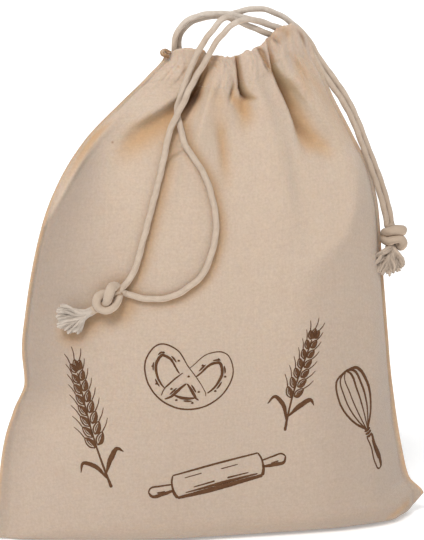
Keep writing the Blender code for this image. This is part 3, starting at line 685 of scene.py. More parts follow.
class Graph:
    """Adds and joins nodes in one shader tree."""

    def __init__(self, tree: bpy.types.NodeTree) -> None:
        """Keep the tree."""
        self.tree = tree

    def feed(self, socket: Socket, value: Socket | float | Sequence[float]) -> None:
        """Join a value or another socket to a socket.

        Args:
            socket: What takes it.
            value: What it takes.
        """
        if isinstance(value, Socket):
            self.tree.links.new(value, socket)
        else:
            socket.default_value = (*value, 1.0) if socket.type == "RGBA" else value

    def add(self, kind: str, inputs: dict | None = None, **settings: object) -> bpy.types.Node:
        """Add a node.

        Args:
            kind: Its type.
            inputs: What its sockets take, by name or number.
            **settings: Its own settings.

        Returns:
            The node.
        """
        node = self.tree.nodes.new(kind)
        for name, value in settings.items():
            setattr(node, name, value)
        for name, value in (inputs or {}).items():
            self.feed(node.inputs[name], value)
        return node

    def math(self, operation: str, *values: Socket | float) -> Socket:
        """One step of arithmetic.

        Args:
            operation: Its name, with + at the end where the result is clamped.
            *values: What it takes.

        Returns:
            The result.
        """
        clamped = operation.endswith("+")
        node = self.add("ShaderNodeMath", operation=operation.rstrip("+"), use_clamp=clamped)
        for socket, value in zip(node.inputs, values):
            self.feed(socket, value)
        return node.outputs[0]

    def times(self, first: Socket, second: Socket | float) -> Socket:
        """The product of two values."""
        return self.math("MULTIPLY", first, second)

    def mix(self, factor: Socket | float, low: Tone, high: Tone, blend: str = "MIX") -> Socket:
        """Mix two colours by a mask."""
        inputs = {0: factor, 6: low, 7: high}
        return self.add("ShaderNodeMix", inputs, data_type="RGBA", blend_type=blend).outputs[2]

    def tint(self, color: Tone, tints: Iterable[tuple[str, float, Color]]) -> Socket:
        """Lay tints over a colour.

        Args:
            color: The colour.
            tints: The mesh's own mask, the share and the colour of each tint.

        Returns:
            The tinted colour.
        """
        for mask, share, toned in tints:
            amount = self.add("ShaderNodeAttribute", attribute_name=mask).outputs["Fac"]
            color = self.mix(self.times(amount, share), color, toned)
        return color

    def spread(self, value: Socket, low: float, high: float, to_low: float, to_high: float) -> Socket:
        """Map a range of values to another range."""
        inputs = {0: value, 1: low, 2: high, 3: to_low, 4: to_high}
        return self.add("ShaderNodeMapRange", inputs).outputs[0]

    def noise(self, where: Socket, scale: Socket | float, **more: float) -> Outputs:
        """Plain noise, with what its other sockets take."""
        return self.add("ShaderNodeTexNoise", {"Vector": where, "Scale": scale, **more}).outputs

    def vector(self, operation: str, first: Socket, second: Socket | Sequence[float]) -> Socket:
        """One step of arithmetic on places."""
        return self.add("ShaderNodeVectorMath", {0: first, 1: second}, operation=operation).outputs[0]

    def on_cloth(self) -> Socket:
        """The place on the flat cloth, or round and along a cord."""
        return self.add("ShaderNodeUVMap", uv_map="cloth_place").outputs[0]

    def in_solid(self) -> Socket:
        """The place in space, in metres."""
        return self.add("ShaderNodeTexCoord").outputs["Object"]

    def bump(self, strength: float, distance: float, height: Socket) -> Socket:
        """A normal bent by a relief."""
        inputs = {"Strength": strength, "Distance": distance, "Height": height}
        return self.add("ShaderNodeBump", inputs).outputs[0]


@dataclass(frozen=True)
class EffectGroup:
    """A shader node group for one surface effect, built once; None makes a vector input."""

    name: str
    takes: tuple[tuple[str, float | None], ...]
    gives: tuple[str, ...]

    def tree(self) -> bpy.types.NodeTree:
        """The group, built if it isn't there yet.

        Returns:
            The group's tree.
        """
        tree = bpy.data.node_groups.get(self.name)
        if tree is not None:
            return tree
        tree = bpy.data.node_groups.new(self.name, "ShaderNodeTree")
        for name, value in self.takes:
            kind = "NodeSocketVector" if value is None else "NodeSocketFloat"
            socket = tree.interface.new_socket(name, in_out="INPUT", socket_type=kind)
            if value is not None:
                socket.default_value = value
        for name in self.gives:
            tree.interface.new_socket(name, in_out="OUTPUT", socket_type="NodeSocketFloat")
        source, result = tree.nodes.new("NodeGroupInput"), tree.nodes.new("NodeGroupOutput")
        graph = Graph(tree)
        for name, value in zip(self.gives, self.wire(graph, source.outputs)):
            graph.feed(result.inputs[name], value)
        return tree

    def wire(self, graph: Graph, takes: Outputs) -> tuple[Socket, ...]:
        """Fill the empty group."""
        raise NotImplementedError

    def place(self, graph: Graph, *values: Socket | float) -> Outputs:
        """Place the group in a material.

        Args:
            graph: The material's graph.
            *values: What the group's inputs take, in their order.

        Returns:
            What the group puts out.
        """
        node = graph.add("ShaderNodeGroup", node_tree=self.tree())
        for socket, value in zip(node.inputs, values):
            graph.feed(socket, value)
        return node.outputs


@dataclass(frozen=True)
class PlainWeave(EffectGroup):
    """Warp and weft threads that pass over and under each other, of uneven thickness."""

    name: str = "plain_weave"
    takes: tuple = (("Place", None), ("Threads", 1500.0), ("Unevenness", 0.3))
    gives: tuple = ("Height", "Shade")
    wander_scale: float = 260.0
    wander: float = 0.00022
    slub_close: float = 760.0
    slub_long: float = 34.0
    crown: float = 0.55
    crossing: float = 0.25
    slub_height: float = 3.0
    slub_shade: float = 2.0

    def wire(self, graph: Graph, takes: Outputs) -> tuple[Socket, ...]:
        """Threads from a place on the cloth.

        Args:
            graph: The group's graph.
            takes: Its inputs.

        Returns:
            Height of the threads, and how far each point catches the light.
        """
        flat, uneven = takes["Place"], takes["Unevenness"]
        drift = graph.noise(flat, self.wander_scale)["Color"]
        drift = graph.vector("SUBTRACT", drift, (0.5, 0.5, 0.5))
        drift = graph.vector("MULTIPLY", drift, (self.wander, self.wander, 0.0))
        split = graph.add("ShaderNodeSeparateXYZ", {0: graph.vector("ADD", flat, drift)})
        turns = graph.times(takes["Threads"], math.pi)
        warp, weft = (graph.math("SINE", graph.times(split.outputs[axis], turns))
                      for axis in ("X", "Y"))
        over = graph.spread(graph.times(warp, weft), -self.crossing, self.crossing, 0.0, 1.0)
        warp, weft = graph.math("ABSOLUTE", warp), graph.math("ABSOLUTE", weft)
        tops = [graph.times(one, graph.spread(two, 0.0, 1.0, self.crown, 1.0))
                for one, two in ((warp, weft), (weft, warp))]
        lifted = graph.times(over, tops[0])
        lifted = graph.math("MULTIPLY_ADD", graph.math("SUBTRACT", 1.0, over), tops[1], lifted)
        slubs = [graph.noise(graph.vector("MULTIPLY", flat, (*stretch, 1.0)), 1.0)["Fac"]
                 for stretch in ((self.slub_close, self.slub_long), (self.slub_long, self.slub_close))]
        slub = graph.math("SUBTRACT", graph.math("ADD", *slubs), 1.0)
        uneven = graph.times(slub, uneven)
        shade = graph.spread(lifted, 0.0, 0.8, 0.0, 1.0)
        return (graph.math("ADD", lifted, graph.times(uneven, self.slub_height)),
                graph.math("ADD+", shade, graph.times(uneven, self.slub_shade)))


@dataclass(frozen=True)
class NaturalTone(EffectGroup):
    """Soft patches of tone, and the few seed flecks of unbleached fibre."""

    name: str = "natural_tone"
    takes: tuple = (("Place", None), ("Patch", 30.0), ("Flecks", 90.0))
    gives: tuple = ("Tone", "Fleck")
    fleck_core: float = 0.03
    fleck_edge: float = 0.075
    fleck_rarity: float = 0.9
    patch_from: float = 0.32
    patch_to: float = 0.68

    def wire(self, graph: Graph, takes: Outputs) -> tuple[Socket, ...]:
        """Patches and flecks from a place in space.

        Args:
            graph: The group's graph.
            takes: Its inputs.

        Returns:
            How deep the tone is, and where a fleck is.
        """
        patches = graph.noise(takes["Place"], takes["Patch"], Detail=5.0, Roughness=0.65)["Fac"]
        inputs = {"Vector": takes["Place"], "Scale": takes["Flecks"]}
        seeds = graph.add("ShaderNodeTexVoronoi", inputs).outputs
        near = graph.spread(seeds["Distance"], self.fleck_core, self.fleck_edge, 1.0, 0.0)
        chance = graph.add("ShaderNodeSeparateColor", {0: seeds["Color"]}).outputs[0]
        rare = graph.math("GREATER_THAN", chance, self.fleck_rarity)
        tone = graph.spread(patches, self.patch_from, self.patch_to, 0.0, 1.0)
        return tone, graph.times(near, rare)


@dataclass(frozen=True)
class FineFibre(EffectGroup):
    """Loose fine fibre that roughens a soft surface."""

    name: str = "fine_fibre"
    takes: tuple = (("Place", None), ("Fineness", 2600.0))
    gives: tuple = ("Height",)

    def wire(self, graph: Graph, takes: Outputs) -> tuple[Socket, ...]:
        """Fibre relief from a place in space."""
        more = {"Detail": 4.0, "Roughness": 0.7, "Distortion": 0.6}
        return (graph.noise(takes["Place"], takes["Fineness"], **more)["Fac"],)


@dataclass(frozen=True)
class CordBraid(EffectGroup):
    """Plies that cross round a cord, each over the other in turn."""

    name: str = "cord_braid"
    takes: tuple = (("Place", None), ("Plies", 8.0), ("Pitch", 0.009))
    gives: tuple = ("Height", "Shade")
    crossing: float = 0.3

    def wire(self, graph: Graph, takes: Outputs) -> tuple[Socket, ...]:
        """Plies from a place round and along the cord.

        Args:
            graph: The group's graph.
            takes: Its inputs.

        Returns:
            Height of the plies, and how far each point catches the light.
        """
        split = graph.add("ShaderNodeSeparateXYZ", {0: takes["Place"]}).outputs
        round_it = graph.times(split["X"], takes["Plies"])
        along = graph.math("DIVIDE", split["Y"], takes["Pitch"])
        along = graph.times(along, takes["Plies"])
        one, two = (
            graph.math("SINE", graph.times(graph.math(way, along, round_it), math.pi))
            for way in ("ADD", "SUBTRACT")
        )
        over = graph.spread(graph.times(one, two), -self.crossing, self.crossing, 0.0, 1.0)
        height = graph.times(over, graph.math("ABSOLUTE", one))
        under = graph.math("SUBTRACT", 1.0, over)
        height = graph.math("MULTIPLY_ADD", under, graph.math("ABSOLUTE", two), height)
        return height, graph.spread(height, 0.1, 0.8, 0.0, 1.0)


WEAVE = PlainWeave()
TONE = NaturalTone()
FIBRE = FineFibre()
BRAID = CordBraid()


# Finishes


@dataclass(frozen=True)
class Finish:
    """A surface finish of the bag or the stage."""

    name: str
    roughness: float
    specular: float = 0.25

    def start(self) -> tuple[Material, Graph, bpy.types.Node]:
        """A material with its plain shader.

        Returns:
            The material, its graph and its Principled BSDF.
        """
        material = bpy.data.materials.new(self.name)
        material.use_nodes = True
        shader = material.node_tree.nodes["Principled BSDF"]
        self.set_constants(shader, {
            "Roughness": self.roughness, "Metallic": 0.0, "Specular IOR Level": self.specular,
        })
        return material, Graph(material.node_tree), shader

    @staticmethod
    def set_constants(shader: bpy.types.Node, values: dict[str, float | Color]) -> None:
        """Set constants on the shader's own sockets."""
        for name, value in values.items():
            shader.inputs[name].default_value = value


@dataclass(frozen=True)
class ClothFinish(Finish):
    """Unbleached plain-woven cotton."""

    name: str = "unbleached_cotton"
    roughness: float = 0.95
    light: Color = (0.482, 0.377, 0.297)
    warm: Color = (0.448, 0.335, 0.248)
    # The next six colours are painted shade, painted shadow and a painted glow.
    low: Color = (0.352, 0.278, 0.224)
    turned_shade: Color = (0.313, 0.245, 0.195)
    hollow: Color = (0.445, 0.268, 0.134)
    deep: Color = (0.120, 0.052, 0.016)
    glow: Color = (0.495, 0.332, 0.200)
    shade: Color = (0.365, 0.218, 0.108)
    fleck: Color = (0.180, 0.100, 0.050)
    threads: float = 1500.0
    unevenness: float = 0.26
    relief: float = 0.00016
    warm_share: float = 0.35
    fleck_share: float = 0.55
    patch_scale: float = 38.0
    fleck_scale: float = 70.0
    mottle_scale: float = 640.0
    fibre_scale: float = 2400.0
    fibre_share: float = 0.5
    thread_tones: tuple[float, float] = (0.86, 1.06)
    grain_tones: tuple[float, float] = (0.925, 1.075)

    def material(self) -> Material:
        """Make the cloth's material.

        Returns:
            The material.
        """
        material, graph, shader = self.start()
        solid = graph.in_solid()
        weave = WEAVE.place(graph, graph.on_cloth(), self.threads, self.unevenness)
        tone = TONE.place(graph, solid, self.patch_scale, self.fleck_scale)
        mottle = TONE.place(graph, solid, self.mottle_scale)
        fibre = FIBRE.place(graph, solid, self.fibre_scale)
        warmth = graph.times(tone["Tone"], self.warm_share)
        # Painted shade, painted shadow and a painted glow from the mesh's masks, over the cloth's own
        # patchy tone.
        color = graph.tint(graph.mix(warmth, self.light, self.warm), (
            ("painted_low_shade", 0.55, self.low), ("painted_side_shade", 1.0, self.turned_shade), ("painted_seam_glow", 0.7, self.glow),
            ("painted_underside_shade", 0.6, self.hollow), ("hollow", 0.8, self.hollow),
            ("painted_warm_shade", 0.85, self.hollow), ("cord_shade", 0.75, self.shade),
            ("painted_fold_shade", 0.58, self.deep), ("painted_dark_shade", 0.95, self.deep),
        ))
        flecked = graph.times(tone["Fleck"], self.fleck_share)
        color = graph.mix(flecked, color, self.fleck)
        # Painted thread-scale light and shade from the weave's raised threads, with its real uneven slubs
        # and a random grain.
        thread_tone = graph.spread(weave["Shade"], 0.0, 1.0, *self.thread_tones)
        grain = graph.spread(mottle["Tone"], 0.0, 1.0, *self.grain_tones)
        thread_tone = graph.times(thread_tone, grain)
        grey = graph.add("ShaderNodeCombineXYZ", {axis: thread_tone for axis in range(3)})
        color = graph.mix(1.0, color, grey.outputs[0], blend="MULTIPLY")
        graph.feed(shader.inputs["Base Color"], color)
        height = graph.math("MULTIPLY_ADD", fibre["Height"], self.fibre_share, weave["Height"])
        graph.feed(shader.inputs["Normal"], graph.bump(0.6, self.relief, height))
        self.set_constants(shader, {
            "Sheen Weight": 0.15, "Sheen Roughness": 0.5, "Subsurface Weight": 0.3,
            "Subsurface Radius": (1.0, 0.45, 0.2), "Subsurface Scale": 0.004,
        })
        return material


@dataclass(frozen=True)
class CordFinish(Finish):
    """Soft braided cotton cord, also frayed into loose fibre, with painted shade, painted bounce light
    and a painted highlight.
    """

    name: str = "cotton_cord"
    roughness: float = 0.92
    light: Color = (0.480, 0.391, 0.313)
    deep: Color = (0.318, 0.236, 0.172)
    # Pale teased fibre, and the painted highlight on the sunlit tops of the cords.
    pale: Color = (0.600, 0.545, 0.485)
    # The next three colours are painted bounce light, painted shade and painted shade where turns touch.
    bounce: Color = (0.660, 0.500, 0.370)
    in_shade: Color = (0.395, 0.312, 0.240)
    crevice_shade: Color = (0.210, 0.125, 0.065)
    braided: bool = True
    plies: float = 5.0
    pitch: float = 0.0075
    patch_scale: float = 260.0
    patch_share: float = 0.42
    fibre_scale: float = 3200.0
    fibre_share: float = 0.5
    braid_shade: float = 0.45
    fibre_shade: float = 0.3
    relief: float = 0.00022

    def material(self) -> Material:
        """Make the cord's material.

        Returns:
            The material.
        """
        material, graph, shader = self.start()
        solid = graph.in_solid()
        height = FIBRE.place(graph, solid, self.fibre_scale)["Height"]
        if self.braided:
            braid = BRAID.place(graph, graph.on_cloth(), self.plies, self.pitch)
            lay = graph.spread(braid["Shade"], 0.0, 1.0, self.braid_shade, 0.0)
            height = graph.math("MULTIPLY_ADD", height, self.fibre_share, braid["Height"])
        else:
            lay = graph.spread(height, 0.35, 0.65, self.fibre_shade, 0.0)
        # Pale teased fibre with a painted highlight, and painted shade on the cords that hang in shade.
        color = graph.tint(self.light, (("teased_and_sunlit", 1.0, self.pale), ("in_shade", 1.0, self.in_shade)))
        # Painted shade in the grooves between the plies.
        color = graph.mix(lay, color, self.deep)
        tone = TONE.place(graph, solid, self.patch_scale)
        patches = graph.times(tone["Tone"], self.patch_share)
        color = graph.mix(patches, color, self.deep)
        # Painted bounce light away from the key light, and painted shade where the knot's turns touch.
        color = graph.tint(color, (("away", 0.8, self.bounce), ("crevice_shade", 0.8, self.crevice_shade)))
        graph.feed(shader.inputs["Base Color"], color)
        graph.feed(shader.inputs["Normal"], graph.bump(0.5, self.relief, height))
        self.set_constants(shader, {"Sheen Weight": 0.25, "Sheen Roughness": 0.4})
        return material


@dataclass(frozen=True)
class InkFinish(Finish):
    """Brown ink printed into the weave."""

    name: str = "brown_print"
    roughness: float = 0.88
    ink: Color = (0.072, 0.028, 0.010)
    worn: Color = (0.145, 0.072, 0.032)
    threads: float = 1500.0
    unevenness: float = 0.3
    wear_scale: float = 420.0
    wear_share: float = 0.7
    relief: float = 0.00014

    def material(self) -> Material:
        """Make the ink's material.

        Returns:
            The material.
        """
        material, graph, shader = self.start()
        weave = WEAVE.place(graph, graph.on_cloth(), self.threads, self.unevenness)
        tone = TONE.place(graph, graph.in_solid(), self.wear_scale)
        wear = graph.times(tone["Tone"], weave["Shade"])
        wear = graph.times(wear, self.wear_share)
        graph.feed(shader.inputs["Base Color"], graph.mix(wear, self.ink, self.worn))
        graph.feed(shader.inputs["Normal"], graph.bump(0.5, self.relief, weave["Height"]))
        return material


@dataclass(frozen=True)
class FloorFinish(Finish):
    """A plain pale floor."""

    name: str = "pale_floor"
    roughness: float = 0.9
    light: Color = (0.93, 0.93, 0.93)
    deep: Color = (0.91, 0.91, 0.91)
    patch_scale: float = 4.0
    lit: float = 0.25

    def material(self) -> Material:
        """Make the floor's material.

        Returns:
            The material.
        """
        material, graph, shader = self.start()
        tone = TONE.place(graph, graph.in_solid(), self.patch_scale)
        color = graph.mix(tone["Tone"], self.light, self.deep)
        graph.feed(shader.inputs["Base Color"], color)
        graph.feed(shader.inputs["Emission Color"], color)
        self.set_constants(shader, {"Emission Strength": self.lit})
        return material


# The filled form


@dataclass(frozen=True)
class BagForm:
    """The plain form of the filled bag, without its folds."""

    sections: Rows = SECTIONS
    cloth_thick: float = 1.6
    piece_gap: float = 0.3
    rim_read_height: float = 330.0

    @property
    def gap_half(self) -> float:
        """Distance of each panel from the seam plane."""
        return 0.5 * self.piece_gap

    @property
    def seam_half(self) -> float:
        """Distance of a panel's outer face from the seam plane at the seam."""
        return self.gap_half + self.cloth_thick

    def level(self, height: Numbers) -> Section:
        """Every column of the sections at some heights."""
        columns = tuple(zip(*self.sections))
        return Section(*(smooth_read(columns[0], column, height) for column in columns))

    def across(self, spread: Numbers, height: Numbers) -> Numbers:
        """Where a column stands along X at a height, from its place between the seams."""
        level = self.level(height)
        return level.left + (level.right - level.left) * 0.5 * (spread + 1.0)

    def spread(self, across: Numbers, level: Section) -> Numbers:
        """The place between the seams, from -1 to 1, of a point along X."""
        return 2.0 * (across - level.left) / (level.right - level.left) - 1.0

    def bulge(self, across: Numbers, level: Section, side: Side) -> Numbers:
        """How far the plain outer face stands from the seam plane.

        Args:
            across: Places along X.
            level: The section at each place.
            side: Which face.

        Returns:
            The distance in millimetres.
        """
        low, high = level.left + level.edge_l, level.right - level.edge_r
        place = (across - 0.5 * (low + high)) / (0.5 * (high - low))
        square = np.where(place < 0.0, level.square_l, level.square_r)
        fall = np.where(place < 0.0, level.fall_l, level.fall_r)
        swell = np.clip(1.0 - np.abs(place) ** square, 0.0, 1.0) ** fall
        reach = level.front if side is Side.FRONT else level.back
        return self.seam_half + (reach - self.seam_half) * swell


@dataclass(frozen=True)
class Gathers:
    """Small puckers where the drawcord gathers the casing, each fading below it."""

    seed: int
    count: int
    high: float
    reach: float
    spread_to: float = 0.96
    flat_top: float = 20.0

    def relief(self, spread: Numbers, half_width: Numbers, below: Numbers) -> Numbers:
        """Height of the puckers.

        Args:
            spread: Place between the seams.
            half_width: Half the distance between the seams there.
            below: Distance under the rim.

        Returns:
            The relief outwards, in millimetres.
        """
        draw = np.random.default_rng(self.seed)
        total = np.zeros(np.broadcast(spread, below).shape)
        for index in range(self.count):
            centre = 2.0 * self.spread_to * (index + draw.uniform(0.15, 0.85)) / self.count
            centre -= self.spread_to
            wide = draw.uniform(1.0, 1.9)
            high = self.high * draw.uniform(0.35, 1.0)
            reach = self.reach * draw.uniform(0.4, 1.0)
            drift = draw.uniform(-0.0016, 0.0016)
            off = (spread - centre - drift * below) * half_width
            grown = wide * (1.0 + 1.6 * np.clip((below - 18.0) / reach, 0.0, 1.5))
            fade = soft_step(1.0 - (below - self.flat_top) / reach)
            fade = fade * (0.35 + 0.65 * soft_step(below / 7.0))
            total -= high * fade * bell(off / grown)
        return total


@dataclass(frozen=True)
class ClothFace:
    """The outer face of one panel: the form, its casing, folds, puckers and soft wrinkles."""

    side: Side
    rim: Rows
    folds: Lines
    crumples: Rows
    gathers: Gathers
    form: BagForm = BagForm()
    casing_height: float = 20.0
    casing_step: float = 0.05
    casing_swell: float = 0.5
    stitch_groove: float = 0.05
    ruffle: float = 1.6
    edge_fade: float = 5.0
    wrinkle: float = 0.4
    seam_draw: float = 0.45
    seam_wide: float = 3.5
    least_out: float = 0.5
    noise_seed: int = 11

    def top(self, spread: Numbers) -> Numbers:
        """Height of the rim at a place between the seams.

        Args:
            spread: The place, from -1 to 1.

        Returns:
            The height in millimetres.
        """
        read_at = self.form.across(spread, np.full(np.shape(spread), self.form.rim_read_height))
        plain = smooth_read(*zip(*self.rim), read_at)
        ruffle = cloth_noise(read_at / 3.6, 0.5, self.noise_seed + 1)
        ruffle += 0.6 * cloth_noise(read_at / 1.8, 7.5, self.noise_seed + 2)
        return plain + self.ruffle * ruffle * (1.0 - np.abs(spread) ** 6)

    def fold_relief(self, across: Numbers, height: Numbers, hollows: bool = False) -> Numbers:
        """Height of the fold lines at each point.

        Args:
            across: Places along X.
            height: Places along Z.
            hollows: Whether only the inward lines that get the painted warm shade count.

        Returns:
            The relief outwards, in millimetres.
        """
        relief = np.zeros(np.broadcast(across, height).shape)
        for name, rows in self.folds.items():
            points = [Fold(*row) for row in rows]
            if hollows and (points[1].high > 0.0 or name in COOL_FOLDS):
                continue
            nearest = np.full(relief.shape, np.inf)
            share = np.zeros(relief.shape)
            for start, end in zip(points, points[1:]):
                run_x, run_z = end.x - start.x, end.z - start.z
                long = math.hypot(run_x, run_z)
                along = (across - start.x) * run_x + (height - start.z) * run_z
                along = np.clip(along / long**2, 0.0, 1.0)
                off_x = across - start.x - along * run_x
                off_z = height - start.z - along * run_z
                off = np.hypot(off_x, off_z)
                wide, high, lean = (one + along * (two - one) for one, two in zip(start[2:], end[2:]))
                aside = (off_z * run_x - off_x * run_z) / long
                lean = lean * np.clip(aside / np.maximum(off, 1e-6), -1.0, 1.0)
                closer = off < nearest
                share = np.where(closer, high * bell(off / (wide * (1.0 + lean))), share)
                nearest = np.where(closer, off, nearest)
            relief += share
        return relief

    def soft_wrinkles(self, across: Numbers, height: Numbers) -> Numbers:
        """Faint unevenness of hand-filled cloth, stronger under the gathers.

        Args:
            across: Places along X.
            height: Places along Z.

        Returns:
            The relief outwards, in millimetres.
        """
        slow = cloth_noise(across / 34.0 + 5.0, height / 46.0, self.noise_seed)
        slow += 0.5 * cloth_noise(across / 15.0, height / 24.0 + 3.0, self.noise_seed + 3)
        return self.wrinkle * (0.8 + 1.2 * ramp(height, 190.0, 90.0)) * slow

    def crumple_relief(self, across: Numbers, height: Numbers) -> Numbers:
        """Small handled dents in the patches that have them.

        Args:
            across: Places along X.
            height: Places along Z.

        Returns:
            The relief outwards, in millimetres.
        """
        total = np.zeros(np.broadcast(across, height).shape)
        slant = across + 0.5 * height
        for seed, (x, z, half_x, half_z, high, dent) in enumerate(self.crumples, self.noise_seed + 40):
            dents = cloth_noise(slant / dent, height / (2.8 * dent), seed)
            dents += 0.6 * cloth_noise(2.1 * slant / dent, height / (1.6 * dent), seed + 20)
            off = ((across - x) / half_x) ** 2 + ((height - z) / half_z) ** 2
            total += high * dents * np.exp(-off)
        return total

    def seam_puckers(self, inside: Numbers, height: Numbers) -> Numbers:
        """The slight draw of the side seams' stitching.

        Args:
            inside: Distance from the nearer seam.
            height: Places along Z.

        Returns:
            The relief outwards, in millimetres.
        """
        draw = cloth_noise(height / 7.0, 1.5, self.noise_seed + 4)
        draw += 0.5 * cloth_noise(height / 3.2, 4.5, self.noise_seed + 5)
        return self.seam_draw * draw * bell((inside - self.seam_wide) / self.seam_wide)

    def relief(self, across: Numbers, height: Numbers) -> Numbers:
        """Height of all the folds and puckers over the plain form.

        Args:
            across: Places along X.
            height: Places along Z.

        Returns:
            The relief outwards, in millimetres.
        """
        level = self.form.level(height)
        inside = np.maximum(np.minimum(across - level.left, level.right - across), 0.0)
        fade = 1.0 - bell(inside / self.edge_fade)
        spread = self.form.spread(across, level)
        half_width = 0.5 * (level.right - level.left)
        below = self.top(spread) - height
        total = self.fold_relief(across, height) + self.soft_wrinkles(across, height)
        total += self.gathers.relief(spread, half_width, below)
        total += self.crumple_relief(across, height)
        return total * fade + self.seam_puckers(inside, height)

    def casing(self, across: Numbers, height: Numbers) -> Numbers:
        """How far the casing stands out from the cloth below it.

        Args:
            across: Places along X.
            height: Places along Z.

        Returns:
            The distance in millimetres.
        """
        level = self.form.level(height)
        below = self.top(self.form.spread(across, level)) - height
        up = self.casing_height - below
        step = self.casing_step * soft_step(up / 1.6 + 0.5)
        swell = self.casing_swell * np.sin(math.pi * np.clip(up / self.casing_height, 0.0, 1.0))
        groove = self.stitch_groove * bell((up - 0.6) / 0.9)
        return step + swell - groove

    def out(self, across: Numbers, height: Numbers) -> Numbers:
        """Distance of the outer face from the seam plane.

        Args:
            across: Places along X.
            height: Places along Z.

        Returns:
            The distance in millimetres.
        """
        plain = self.form.bulge(across, self.form.level(height), self.side)
        face = plain + self.relief(across, height) + self.casing(across, height)
        return np.maximum(face, self.form.gap_half + self.least_out)

    def lay_on(self, across: Numbers, height: Numbers, proud: float) -> Numbers:
        """Points that lie on the face.

        Args:
            across: Places along X.
            height: Places along Z.
            proud: Distance over the cloth.

        Returns:
            The points in millimetres.
        """
        tiny = 0.4
        out = self.out(across, height)
        run_x = (self.out(across + tiny, height) - out) / tiny
        run_z = (self.out(across, height + tiny) - out) / tiny
        normal = unit(np.stack([-run_x, np.ones_like(run_x), -run_z], axis=-1))
        points = np.stack([across, out, height], axis=-1) + normal * proud
        points[..., 1] *= self.side.value
        return points


# Pieces of the bag


@dataclass
class Piece:
    """A piece of the bag that has a mesh of its own."""

    name: str
    piece: Object | None = field(default=None, init=False)
    slot = CORD_SLOT

    def dress(self, material: Material) -> None:
        """Give the piece its material."""
        self.piece.data.materials.append(material)


